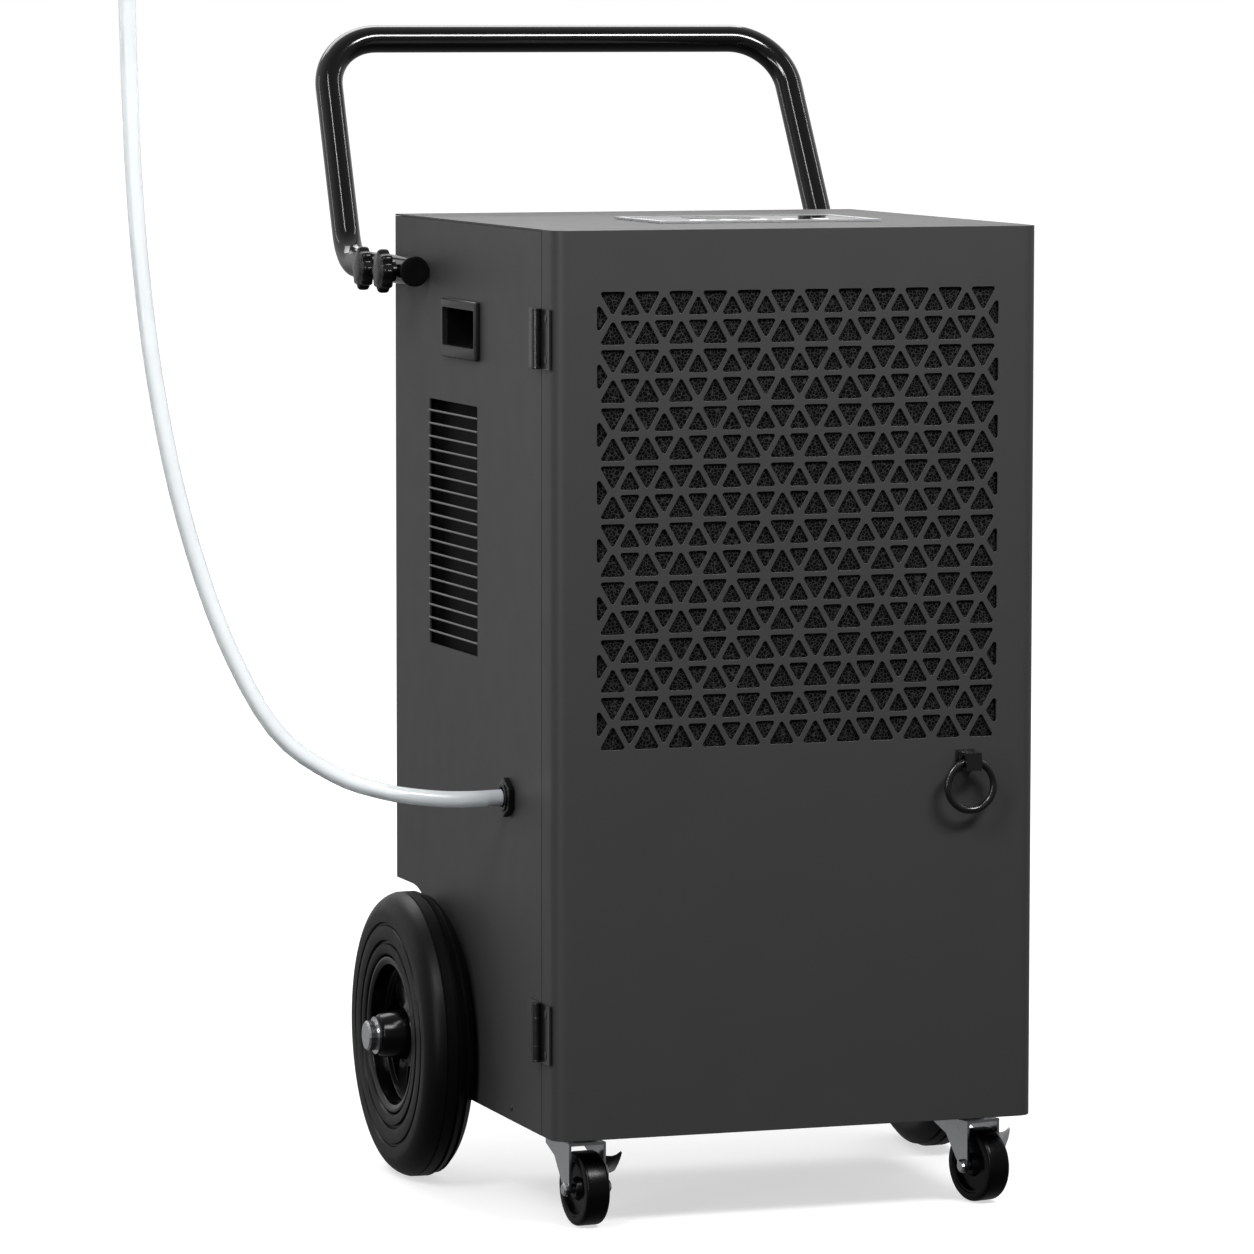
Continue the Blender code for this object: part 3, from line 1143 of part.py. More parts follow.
def make_compressor():
    radius, height = COMPRESSOR_RADIUS, COMPRESSOR_HEIGHT
    foot, foot_height = COMPRESSOR_FOOT
    dome = [(radius * math.cos(math.radians(a)), height + COMPRESSOR_DOME * (math.sin(math.radians(a)) - 1))
            for a in (60.0, 30.0, 0.0)]
    profile = [(0.0, height)] + dome + [(radius, foot_height), (foot, foot_height), (foot, 0.0), (0.0, 0.0)]
    unit = turned("compressor", profile, 24, False, (COMPRESSOR_X, COMPRESSOR_Y, PAN_FLOOR))
    finish(unit, COMPRESSOR_PAINT, True)


def make_pump():
    """Open tank on the base pan, the pump on its lid, and the pipe from the pump to the outlet."""
    length, depth, height = TANK_SIZE
    low = (TANK_X - length / 2, TANK_Y - depth / 2, PAN_FLOOR)
    high = (TANK_X + length / 2, TANK_Y + depth / 2, PAN_FLOOR + height)
    finish(shell("pump_tank", low, high, (0.0, 0.0, 1.0), TANK_WALL), WHITE_PLASTIC)
    wide, deep, tall = PUMP_SIZE
    base = PAN_FLOOR + height + GAP
    lid = box("drain_pump", (low[0], low[1], base), (high[0], high[1], base + TANK_LID))
    motor = box("drain_pump_motor", (TANK_X - wide / 2, TANK_Y - deep / 2, base + TANK_LID / 2),
                (TANK_X + wide / 2, TANK_Y + deep / 2, base + tall), CUTTERS)
    finish(combine(lid, motor, "UNION"), BLACK_PLASTIC)
    level = BASE_Z + OUTLET_Z
    outlet_end = -(HALF + GAP) + OUTLET_REACH + GAP
    corners = [(TANK_X, OUTLET_Y, base + tall + GAP), (TANK_X, OUTLET_Y, level),
               (outlet_end, OUTLET_Y, level)]
    finish(tube("pump_pipe", rounded_path(corners, [PIPE_BEND], 6), PIPE_RADIUS, 2), CLEAR_PVC)


def make_power_inlet():
    """Flush appliance inlet in the rear panel."""
    wide, tall = INLET_SIZE[0] / 2, INLET_SIZE[1] / 2
    z = BASE_Z + INLET_Z
    back = CABINET_DEPTH + GAP
    brim = INLET_FLANGE / 2
    inlet = box("power_inlet", (INLET_X - wide - INLET_FLANGE, back, z - tall - brim),
                (INLET_X + wide + INLET_FLANGE, back + INLET_PROUD, z + tall + brim))
    body = box("power_inlet_body", (INLET_X - wide, back - INLET_DEPTH, z - tall),
               (INLET_X + wide, back + INLET_PROUD / 2, z + tall), CUTTERS)
    wide, tall = wide - INLET_WALL, tall - INLET_WALL
    socket = box("power_inlet_socket", (INLET_X - wide, back + 2 * INLET_PROUD - INLET_DEPTH, z - tall),
                 (INLET_X + wide, back + 2 * INLET_PROUD, z + tall), CUTTERS)
    combine(inlet, body, "UNION")
    finish(combine(inlet, socket, "DIFFERENCE"), BLACK_PLASTIC)


make_side_panels()
make_top_panel()
make_rear_panel()
make_step_panel()
make_base_pan()
make_front_frame()
make_carry_cups()
make_door_panel()
make_filter()
make_ring_pull()
make_hinges()
make_control_panel()
make_outlet()
make_hose()
make_rear_wheels()
make_castors()
make_handle()
make_coils()
make_fan()
make_compressor()
make_pump()
make_power_inlet()
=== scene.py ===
"""Portable dehumidifier: the finished look of every piece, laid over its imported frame."""
import json
import math

import bmesh
import bpy
from bpy.props import FloatProperty, FloatVectorProperty, IntProperty, PointerProperty
from bpy.types import Operator, Panel, PropertyGroup
from mathutils import Matrix, Vector, noise


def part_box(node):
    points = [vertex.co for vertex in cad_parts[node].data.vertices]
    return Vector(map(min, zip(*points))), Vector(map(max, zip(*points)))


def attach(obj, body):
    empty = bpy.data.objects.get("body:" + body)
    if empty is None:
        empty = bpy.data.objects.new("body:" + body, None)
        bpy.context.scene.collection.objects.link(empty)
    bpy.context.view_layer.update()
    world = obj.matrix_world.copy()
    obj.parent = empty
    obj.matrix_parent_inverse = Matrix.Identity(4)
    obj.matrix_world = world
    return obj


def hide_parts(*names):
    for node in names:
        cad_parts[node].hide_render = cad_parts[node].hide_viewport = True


bl_info = {
    "name": "Dehumidifier",
    "version": (1, 0, 0),
    "blender": (4, 5, 0),
    "location": "3D View > Sidebar > Dehumidifier",
    "description": "Finishes and detailed pieces for a commercial dehumidifier",
    "category": "Object",
}

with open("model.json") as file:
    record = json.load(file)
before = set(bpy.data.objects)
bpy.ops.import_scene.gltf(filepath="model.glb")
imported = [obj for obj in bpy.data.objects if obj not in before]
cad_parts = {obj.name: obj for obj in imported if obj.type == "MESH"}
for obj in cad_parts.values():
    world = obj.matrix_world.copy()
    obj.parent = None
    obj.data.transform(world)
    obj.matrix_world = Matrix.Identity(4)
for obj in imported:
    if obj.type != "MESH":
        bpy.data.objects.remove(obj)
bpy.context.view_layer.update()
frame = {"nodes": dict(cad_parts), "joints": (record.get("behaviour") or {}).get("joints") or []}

PANEL_LOW, PANEL_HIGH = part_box("side_panel_left")[:2]
DOOR_LOW, DOOR_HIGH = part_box("door_panel")[:2]
FRONT_Y = PANEL_LOW.y                # front edge of the side panels
CABINET_TOP = DOOR_HIGH.z            # the door is as tall as the cabinet
SHEET = 0.0015                       # steel sheet of the cabinet
SIDES = {"left": -1.0, "right": 1.0}


# ---- colours and materials ----------------------------------------------------------------------
def linear(code):
    """A #RRGGBB colour as the linear numbers that the shaders use."""
    channels = [int(code[i:i + 2], 16) / 255 for i in (1, 3, 5)]
    return tuple(c / 12.92 if c <= 0.04045 else ((c + 0.055) / 1.055) ** 2.4 for c in channels)


def add_node(tree, kind, values=None, links=None, **settings):
    """One node, with its settings, its input values and what feeds its inputs."""
    made = tree.nodes.new(kind)
    for name, value in settings.items():
        setattr(made, name, value)
    for name, value in (values or {}).items():
        made.inputs[name].default_value = value
    for name, source in (links or {}).items():
        tree.links.new(source, made.inputs[name])
    return made


def per_metre(size_mm):
    """Texture scale that puts one cell of a pattern in this many millimetres."""
    return 1000.0 / size_mm


def blank_material(name, colour, roughness, metallic=0.0, **sockets):
    made = bpy.data.materials.new(name)
    made.use_nodes = True
    shader = made.node_tree.nodes["Principled BSDF"]
    shader.inputs["Base Color"].default_value = (*colour, 1.0)
    shader.inputs["Roughness"].default_value = roughness
    shader.inputs["Metallic"].default_value = metallic
    for socket, value in sockets.items():
        shader.inputs[socket.replace("_", " ")].default_value = value
    made.diffuse_color = (*colour, 1.0)
    return made, made.node_tree, shader


def tinted(tree, shader, factor, dark, light):
    """Base colour that drifts between two tones with a pattern."""
    ramp = add_node(tree, "ShaderNodeValToRGB", links={"Fac": factor})
    ramp.color_ramp.elements[0].color = (*dark, 1.0)
    ramp.color_ramp.elements[1].color = (*light, 1.0)
    tree.links.new(ramp.outputs["Color"], shader.inputs["Base Color"])
    return ramp


def raised(tree, shader, height, depth_mm, strength):
    """Relief of a pattern, with its depth in millimetres."""
    bump = add_node(tree, "ShaderNodeBump", {"Distance": depth_mm / 1000, "Strength": strength},
                    {"Height": height})
    tree.links.new(bump.outputs["Normal"], shader.inputs["Normal"])


def spread(tree, shader, factor, low, high):
    """Roughness that varies between two values with a pattern."""
    ranged = add_node(tree, "ShaderNodeMapRange", {"To Min": low, "To Max": high}, {"Value": factor})
    tree.links.new(ranged.outputs["Result"], shader.inputs["Roughness"])


def scaled(colour, share):
    return tuple(min(1.0, channel * share) for channel in colour)


def grain(tree, size_mm, detail=2.0, stretch=(1.0, 1.0, 1.0)):
    """Even noise in the object's own coordinates, one grain in this many millimetres."""
    place = add_node(tree, "ShaderNodeTexCoord")
    mapped = add_node(tree, "ShaderNodeMapping", {"Scale": stretch}, {"Vector": place.outputs["Object"]})
    return add_node(tree, "ShaderNodeTexNoise", {"Scale": per_metre(size_mm), "Detail": detail},
                    {"Vector": mapped.outputs["Vector"]}).outputs["Fac"]


def powder_coated_steel(name, colour):
    """Polyester powder baked on sheet steel: satin, with a fine orange peel and no visible grain.
    The real peel is about 0.4 mm across; it is drawn at 1.6 mm, the finest that shows."""
    made, tree, shader = blank_material(name, colour, 0.46, Specular_IOR_Level=0.32)
    peel = grain(tree, 1.6)
    tinted(tree, shader, grain(tree, 90.0, 3.0), scaled(colour, 0.95), scaled(colour, 1.05))
    raised(tree, shader, peel, 0.05, 0.35)
    spread(tree, shader, grain(tree, 30.0), 0.44, 0.52)
    return made


def gloss_enamel(name, colour):
    """Stoved enamel on drawn steel tube: deep gloss that shows long, slightly wavy highlights."""
    made, tree, shader = blank_material(name, colour, 0.12, Specular_IOR_Level=0.5)
    tinted(tree, shader, grain(tree, 40.0), scaled(colour, 0.9), scaled(colour, 1.1))
    raised(tree, shader, grain(tree, 18.0, 1.0), 0.06, 0.25)
    spread(tree, shader, grain(tree, 25.0), 0.08, 0.15)
    return made


def moulded_plastic(name, colour, roughness, grit_mm=0.8, depth_mm=0.04):
    """Injection-moulded ABS or nylon: an etched satin skin with soft highlights on its edges."""
    made, tree, shader = blank_material(name, colour, roughness, IOR=1.5, Specular_IOR_Level=0.22)
    tinted(tree, shader, grain(tree, 25.0), scaled(colour, 0.9), scaled(colour, 1.1))
    raised(tree, shader, grain(tree, grit_mm), depth_mm, 0.4)
    spread(tree, shader, grain(tree, 12.0), roughness - 0.05, roughness + 0.05)
    return made


def black_plated_steel(name, colour):
    """Pressed steel with a glossy black finish: dark, with bright lines on its edges."""
    made, tree, shader = blank_material(name, colour, 0.22, Specular_IOR_Level=0.6)
    tinted(tree, shader, grain(tree, 6.0, 4.0), scaled(colour, 0.85), scaled(colour, 1.2))
    raised(tree, shader, grain(tree, 1.5), 0.015, 0.2)
    spread(tree, shader, grain(tree, 8.0, 3.0), 0.16, 0.28)
    return made


def zinc_plated_steel(name, colour):
    """Bright zinc on stamped steel: a cool, bright metal with faint clouding."""
    made, tree, shader = blank_material(name, colour, 0.26, 1.0)
    tinted(tree, shader, grain(tree, 9.0, 2.0), scaled(colour, 0.93), scaled(colour, 1.04))
    spread(tree, shader, grain(tree, 7.0, 2.0), 0.20, 0.30)
    return made


def moulded_rubber(name, colour, roughness):
    """Vulcanised solid rubber: a dull skin with a slight bloom and the mould's fine texture."""
    made, tree, shader = blank_material(name, colour, roughness, IOR=1.5, Specular_IOR_Level=0.14)
    tinted(tree, shader, grain(tree, 14.0, 3.0), scaled(colour, 0.8), scaled(colour, 1.25))
    raised(tree, shader, grain(tree, 1.0), 0.05, 0.5)
    spread(tree, shader, grain(tree, 9.0), roughness - 0.07, roughness + 0.07)
    return made


def open_cell_foam(name, colour):
    """Reticulated polyurethane foam: painted shade in the open pores and painted highlights on the struts
    between them.
    The real pores are about 1.3 mm; they are drawn at 3 mm so that they show."""
    made, tree, shader = blank_material(name, colour, 0.95, Specular_IOR_Level=0.1)
    place = add_node(tree, "ShaderNodeTexCoord")
    cells = add_node(tree, "ShaderNodeTexVoronoi", {"Scale": per_metre(3.0), "Randomness": 1.0},
                     {"Vector": place.outputs["Object"]}, feature="DISTANCE_TO_EDGE")
    # bright struts are painted highlight, dark pores are painted shade
    ramp = tinted(tree, shader, cells.outputs["Distance"], scaled(colour, 7.0), scaled(colour, 0.1))
    ramp.color_ramp.elements[1].position = 0.10
    raised(tree, shader, cells.outputs["Distance"], 0.9, 0.6)
    return made


def clear_pvc(name, colour):
    """Extruded clear vinyl hose: a glassy, faintly blue wall with fine drawing lines along it."""
    made, tree, shader = blank_material(name, colour, 0.08, IOR=1.53, Transmission_Weight=0.45)
    tinted(tree, shader, grain(tree, 60.0), scaled(colour, 0.94), scaled(colour, 1.04))
    raised(tree, shader, grain(tree, 3.0, 1.0, (1.0, 1.0, 0.2)), 0.05, 0.3)
    spread(tree, shader, grain(tree, 15.0), 0.05, 0.12)
    return made


def anodised_trim(name, colour):
    """Anodised aluminium strip: bright satin metal with fine brushed lines along its length."""
    made, tree, shader = blank_material(name, colour, 0.28, 1.0)
    tinted(tree, shader, grain(tree, 20.0, 2.0, (0.1, 1.0, 1.0)), scaled(colour, 0.95), scaled(colour, 1.03))
    spread(tree, shader, grain(tree, 6.0, 2.0, (0.1, 1.0, 1.0)), 0.24, 0.32)
    return made


def polished_window(name, colour):
    """Polished acrylic over a dark print: nearly mirror smooth, with a few faint wipe marks."""
    made, tree, shader = blank_material(name, colour, 0.05, IOR=1.49, Coat_Weight=0.5, Coat_Roughness=0.02)
    tinted(tree, shader, grain(tree, 30.0), scaled(colour, 0.85), scaled(colour, 1.15))
    spread(tree, shader, grain(tree, 10.0, 4.0), 0.03, 0.11)
    return made


def finned_aluminium(name, colour):
    """Coil block of pressed aluminium fins, 1.8 mm apart, drawn as upright bright and dark lines; the dark
    lines are painted shade in the gaps between fins.
    """
    made, tree, shader = blank_material(name, colour, 0.35, 1.0)
    place = add_node(tree, "ShaderNodeTexCoord")
    fins = add_node(tree, "ShaderNodeTexWave", {"Scale": per_metre(1.8) / 20 * math.tau},
                    {"Vector": place.outputs["Object"]}, bands_direction="X")
    # dark lines: painted shade in the gaps between the fins
    tinted(tree, shader, fins.outputs["Fac"], scaled(colour, 0.25), colour)
    raised(tree, shader, fins.outputs["Fac"], 0.6, 0.8)
    return made


def seamless_paper(name, colour):
    """Pale backdrop paper, lit evenly enough that it glows a little and shows only soft shadows."""
    made, tree, shader = blank_material(name, colour, 0.9, Specular_IOR_Level=0.0,
                                        Emission_Color=(1.0, 1.0, 1.0, 1.0))
    tinted(tree, shader, grain(tree, 400.0), scaled(colour, 0.54), scaled(colour, 0.56))
    place = add_node(tree, "ShaderNodeNewGeometry")
    away = add_node(tree, "ShaderNodeVectorMath", links={0: place.outputs["Position"]}, operation="LENGTH")
    glow = add_node(tree, "ShaderNodeMapRange",
                    {"From Min": 0.6, "From Max": 3.0, "To Min": 0.60, "To Max": 0.85},
                    {"Value": away.outputs["Value"]}, interpolation_type="SMOOTHSTEP")
    tree.links.new(glow.outputs["Result"], shader.inputs["Emission Strength"])
    return made


SHADE = {"subtype": "COLOR", "size": 3, "min": 0.0, "max": 1.0}


class DehumidifierColours(PropertyGroup):
    """Colours of the finishes."""

    cabinet: FloatVectorProperty(
        name="Cabinet", description="Powder coat of the cabinet and the door",
        default=linear("#343434"), **SHADE)
    handle: FloatVectorProperty(
        name="Handle", description="Gloss enamel of the push handle", default=linear("#060606"), **SHADE)
    plastic: FloatVectorProperty(
        name="Black plastic", description="Knobs, caps and the drain outlet",
        default=linear("#0B0B0B"), **SHADE)
    cup: FloatVectorProperty(
        name="Carry cups", description="Moulded cups in the side panels",
        default=linear("#1E1E1E"), **SHADE)
    ironwork: FloatVectorProperty(
        name="Ironwork", description="Hinges and ring pull", default=linear("#101010"), **SHADE)
    zinc: FloatVectorProperty(
        name="Zinc", description="Castor forks, plates, washers and bolts",
        default=linear("#C4C6C8"), **SHADE)
    rubber: FloatVectorProperty(
        name="Rubber", description="Tyres and castor treads", default=linear("#090909"), **SHADE)
    rim: FloatVectorProperty(
        name="Rims", description="Moulded rims of the rear wheels", default=linear("#050505"), **SHADE)
    foam: FloatVectorProperty(
        name="Filter foam", description="Foam behind the grille", default=linear("#0E0E0E"), **SHADE)
    hose: FloatVectorProperty(name="Hose", description="Drain hose", default=linear("#F5F9FC"), **SHADE)
    spigot: FloatVectorProperty(
        name="Spigot", description="Barbed spigot inside the hose", default=linear("#1B2738"), **SHADE)
    trim: FloatVectorProperty(
        name="Trim", description="Strip round the control panel", default=linear("#D6D7D9"), **SHADE)
    window: FloatVectorProperty(
        name="Window", description="Window of the control panel", default=linear("#17191B"), **SHADE)
    fins: FloatVectorProperty(name="Fins", description="Coil fins", default=linear("#C9CBCD"), **SHADE)
    white: FloatVectorProperty(
        name="White plastic", description="Tray, tank and fan shroud", default=linear("#DEDEDC"), **SHADE)
    floor: FloatVectorProperty(
        name="Floor", description="Backdrop paper", default=linear("#FBFBFB"), **SHADE)


class DehumidifierSizes(PropertyGroup):
    """Sizes of the detail that the frame leaves plain."""

    big_hole: FloatProperty(
        name="Large holes", description="Side of the large triangular holes", unit="LENGTH", default=0.0234)
    small_hole: FloatProperty(
        name="Small holes", description="Side of the small triangular holes", unit="LENGTH", default=0.0189)
    row_bar: FloatProperty(
        name="Level bars", description="Bar between two rows of holes", unit="LENGTH", default=0.0044)
    column_pitch: FloatProperty(
        name="Column pitch", description="Between two columns of large holes",
        unit="LENGTH", default=0.0300)
    row_pitch: FloatProperty(
        name="Row pitch", description="Height of a pair of rows", unit="LENGTH", default=0.0482)
    hole_corner: FloatProperty(
        name="Hole corners", description="Rounding of the holes' corners", unit="LENGTH", default=0.0018)
    hole_edge: FloatProperty(
        name="Hole edges", description="Soft edge that the coat leaves round a hole",
        unit="LENGTH", default=0.0004)
    grille_drop: FloatProperty(
        name="Grille drop", description="Top of the door to the top of the grille",
        unit="LENGTH", default=0.0488)
    grille_columns: IntProperty(name="Columns", description="Columns of large holes", default=12, min=2)
    grille_rows: IntProperty(name="Row pairs", description="Pairs of rows of holes", default=8, min=1)
    door_corner: FloatProperty(
        name="Door corner", description="Bend between the door's face and its sides",
        unit="LENGTH", default=0.014)
    tube_radius: FloatProperty(
        name="Tube radius", description="Push handle tube", unit="LENGTH", default=0.0125)
    elbow_radius: FloatProperty(
        name="Elbow radius", description="Bend over the arms", unit="LENGTH", default=0.048)
    shoulder_radius: FloatProperty(
        name="Shoulder radius", description="Bend at the ends of the push bar",
        unit="LENGTH", default=0.052)
    hose_radius: FloatProperty(
        name="Hose radius", description="Outside of the drain hose", unit="LENGTH", default=0.007)
    knob_lobes: IntProperty(name="Knob lobes", description="Lobes of a star knob", default=8, min=3)


def sizes():
    return bpy.context.scene.dehumidifier_sizes


def colours():
    return bpy.context.scene.dehumidifier_colours


FINISHES = {}


def finish(name):
    """The material of this name, made once."""
    if name not in FINISHES:
        tone = colours()
        makers = {
            "powder_coated_steel": lambda: powder_coated_steel(name, tone.cabinet),
            # the cabinet's coat five times lighter: a painted highlight on the louvre lips
            "powder_coated_lip_highlight": lambda: powder_coated_steel(name, scaled(tone.cabinet, 5.0)),
            # near-black and dull: painted shade for the tray behind the louvres
            "louvre_painted_shade": lambda: moulded_plastic(name, scaled(tone.plastic, 0.25), 0.9),
            "gloss_enamel_tube": lambda: gloss_enamel(name, tone.handle),
            "moulded_abs_black": lambda: moulded_plastic(name, tone.plastic, 0.24),
            "moulded_abs_blue": lambda: moulded_plastic(name, tone.spigot, 0.3),
            "moulded_abs_charcoal": lambda: moulded_plastic(name, tone.cup, 0.34),
            "moulded_nylon_rim": lambda: moulded_plastic(name, tone.rim, 0.16, 1.5, 0.02),
            "moulded_pp_white": lambda: moulded_plastic(name, tone.white, 0.45),
            "black_zinc_steel": lambda: black_plated_steel(name, tone.ironwork),
            "bright_zinc_steel": lambda: zinc_plated_steel(name, tone.zinc),
            "vulcanised_tyre_rubber": lambda: moulded_rubber(name, tone.rubber, 0.40),
            "polyurethane_castor_tread": lambda: moulded_rubber(name, scaled(tone.rubber, 0.7), 0.26),
            "reticulated_filter_foam": lambda: open_cell_foam(name, tone.foam),
            "extruded_clear_vinyl": lambda: clear_pvc(name, tone.hose),
            "anodised_trim_strip": lambda: anodised_trim(name, tone.trim),
            "printed_acrylic_window": lambda: polished_window(name, tone.window),
            "pressed_coil_fins": lambda: finned_aluminium(name, tone.fins),
            "seamless_paper": lambda: seamless_paper(name, tone.floor),
            "stoved_compressor_enamel": lambda: gloss_enamel(name, tone.plastic),
        }
        FINISHES[name] = makers[name]()
    return FINISHES[name]


# ---- meshes -------------------------------------------------------------------------------------
def add_object(name, data, coat, body):
    """Link an object, give it its finish, and set it on the body that carries it."""
    made = bpy.data.objects.new(name, data)
    bpy.context.scene.collection.objects.link(made)
    data.materials.append(finish(coat))
    if body:
        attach(made, body)
    return made


def box_of(node):
    """Low corner, high corner and middle of a CAD node."""
    low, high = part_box(node)[:2]
    return low, high, (low + high) / 2


def mesh_from(name, shape, smooth=True, angle=35.0):
    """A mesh from a bmesh, smooth but for edges sharper than the angle."""
    shape.normal_update()
    mesh = bpy.data.meshes.new(name)
    shape.to_mesh(mesh)
    shape.free()
    if smooth:
        mesh.shade_smooth()
        mesh.set_sharp_from_angle(angle=math.radians(angle))
    return mesh


def add_piece(name, shape, coat, body, angle=35.0):
    """A bmesh as a finished object on its body."""
    return add_object(name, mesh_from(name, shape, angle=angle), coat, body)


def revolved(profile, steps, centre, axis, closed=True):
    """Turn (radius, distance along the axis) points about the axis, with the profile as a loop."""
    turn = axis.to_track_quat("Z", "Y").to_matrix()
    shape = bmesh.new()
    rings = []
    for step in range(steps):
        angle = math.tau * step / steps
        spoke = Vector((math.cos(angle), math.sin(angle), 0.0))
        rings.append([shape.verts.new(centre + turn @ (spoke * r + Vector((0.0, 0.0, h))))
                      for r, h in profile])
    count = len(profile)
    for ring, after in zip(rings, rings[1:] + rings[:1]):
        for i in range(count if closed else count - 1):
            j = (i + 1) % count
            shape.faces.new((ring[i], ring[j], after[j], after[i]))
    bmesh.ops.remove_doubles(shape, verts=shape.verts, dist=1e-6)
    bmesh.ops.dissolve_degenerate(shape, edges=shape.edges, dist=1e-7)
    bmesh.ops.recalc_face_normals(shape, faces=shape.faces)
    return shape


def rounded_box(low, high, radius, segments=2):
    shape = bmesh.new()
    size = high - low
    matrix = Matrix.Translation((low + high) / 2) @ Matrix.Diagonal((*size, 1.0))
    bmesh.ops.create_cube(shape, size=1.0, matrix=matrix)
    bmesh.ops.bevel(shape, geom=shape.edges[:], offset=radius, segments=segments, profile=0.5,
                    affect="EDGES")
    return shape


def outline_plate(outlines, thickness, edge=0.0):
    """Curve plate drawn in XY from its outline and holes, with its edges rounded."""
    curve = bpy.data.curves.new("plate", "CURVE")
    curve.dimensions = "2D"
    curve.fill_mode = "BOTH"
    curve.extrude = thickness / 2 - edge
    curve.bevel_depth = edge
    curve.bevel_resolution = 2
    curve.offset = -edge
    for outline in outlines:
        spline = curve.splines.new("POLY")
        spline.points.add(len(outline) - 1)
        for point, (x, y) in zip(spline.points, outline):
            point.co = (x, y, 0.0, 1.0)
        spline.use_cyclic_u = True
    return curve


def curve_to_mesh(curve, matrix):
    """The curve as a welded mesh, moved by the matrix."""
    guide = bpy.data.objects.new("guide", curve)
    bpy.context.scene.collection.objects.link(guide)
    bpy.context.view_layer.update()
    mesh = bpy.data.meshes.new_from_object(guide.evaluated_get(bpy.context.evaluated_depsgraph_get()))
    bpy.data.objects.remove(guide, do_unlink=True)
    bpy.data.curves.remove(curve)
    mesh.transform(matrix)
    shape = bmesh.new()
    shape.from_mesh(mesh)
    bpy.data.meshes.remove(mesh)
    bmesh.ops.remove_doubles(shape, verts=shape.verts, dist=1e-6)
    bmesh.ops.recalc_face_normals(shape, faces=shape.faces)
    return shape


def joined(*shapes):
    """Several bmeshes as one."""
    whole = shapes[0]
    for other in shapes[1:]:
        mesh = bpy.data.meshes.new("part")
        other.to_mesh(mesh)
        other.free()
        whole.from_mesh(mesh)
        bpy.data.meshes.remove(mesh)
    return whole


def carved(name, base, cutter):
    """The base bmesh with the cutter bmesh taken out of it."""
    first = bpy.data.objects.new(name + "_base", mesh_from(name + "_base", base, False))
    second = bpy.data.objects.new(name + "_tool", mesh_from(name + "_tool", cutter, False))
    for thing in (first, second):
        bpy.context.scene.collection.objects.link(thing)
    step = first.modifiers.new("cut", "BOOLEAN")
    step.operation = "DIFFERENCE"
    step.solver = "EXACT"
    step.object = second
    bpy.context.view_layer.update()
    mesh = bpy.data.meshes.new_from_object(first.evaluated_get(bpy.context.evaluated_depsgraph_get()))
    shape = bmesh.new()
    shape.from_mesh(mesh)
    for thing in (first, second):
        data = thing.data
        bpy.data.objects.remove(thing, do_unlink=True)
        bpy.data.meshes.remove(data)
    bpy.data.meshes.remove(mesh)
    return shape


def soft_edges(thing, width, segments, angle=30.0):
    bevel = thing.modifiers.new("soft_edges", "BEVEL")
    bevel.width = width
    bevel.segments = segments
    bevel.limit_method = "ANGLE"
    bevel.angle_limit = math.radians(angle)
    bevel.harden_normals = True
    return thing


def paint_nodes(coat, *names, edge=0.0, segments=2):
    """Give CAD nodes their finish and, where asked, softly rounded edges."""
    for name in names:
        thing = frame["nodes"][name]
        if not thing.material_slots:
            raise RuntimeError(f"{name} has no material slot")
        for place in thing.material_slots:
            place.link = "OBJECT"
            place.material = finish(coat)
        if edge:
            soft_edges(thing, edge, segments)


def circle(middle, radius, steps):
    return [(middle[0] + radius * math.cos(math.tau * i / steps),
             middle[1] + radius * math.sin(math.tau * i / steps)) for i in range(steps)]


def fillet(before, corner, after, radius, steps):
    """Points of the arc that rounds a corner between two straight runs."""
    corner = Vector(corner)
    back = (Vector(before) - corner).normalized()
    ahead = (Vector(after) - corner).normalized()
    half = back.angle(ahead) / 2
    centre = corner + (back + ahead).normalized() * radius / math.sin(half)
    first = corner + back * radius / math.tan(half) - centre
    last = corner + ahead * radius / math.tan(half) - centre
    sweep = first.angle(last)
    points = []
    for step in range(steps + 1):
        share = step / steps
        mixed = (first * math.sin((1 - share) * sweep) + last * math.sin(share * sweep)) / math.sin(sweep)
        points.append(centre + mixed)
    return points


def rounded(corners, radius, steps):
    """A closed outline with each of its corners rounded."""
    around = zip(corners[-1:] + corners[:-1], corners, corners[1:] + corners[:1])
    return [tuple(point) for trio in around for point in fillet(*trio, radius, steps)]


def bent_path(corners, radii, steps):
    """Straight runs between the corners, with each inner corner rounded to its radius."""
    points = [Vector(corners[0])]
    for before, corner, after, radius in zip(corners, corners[1:], corners[2:], radii):
        points += fillet(before, corner, after, radius, steps)
    points.append(Vector(corners[-1]))
    return points


def tube_curve(name, points, radius, resolution):
    curve = bpy.data.curves.new(name, "CURVE")
    curve.dimensions = "3D"
    curve.bevel_depth = radius
    curve.bevel_resolution = resolution
    curve.use_fill_caps = True
    spline = curve.splines.new("POLY")
    spline.points.add(len(points) - 1)
    for point, place in zip(spline.points, points):
        point.co = (*place, 1.0)
    return curve


FACING_FRONT = Matrix.Rotation(math.pi / 2, 4, "X")                  # drawn x -> x, y -> z
FACING_SIDE = Matrix.Rotation(math.pi / 2, 4, "Z") @ FACING_FRONT    # drawn x -> y, y -> z


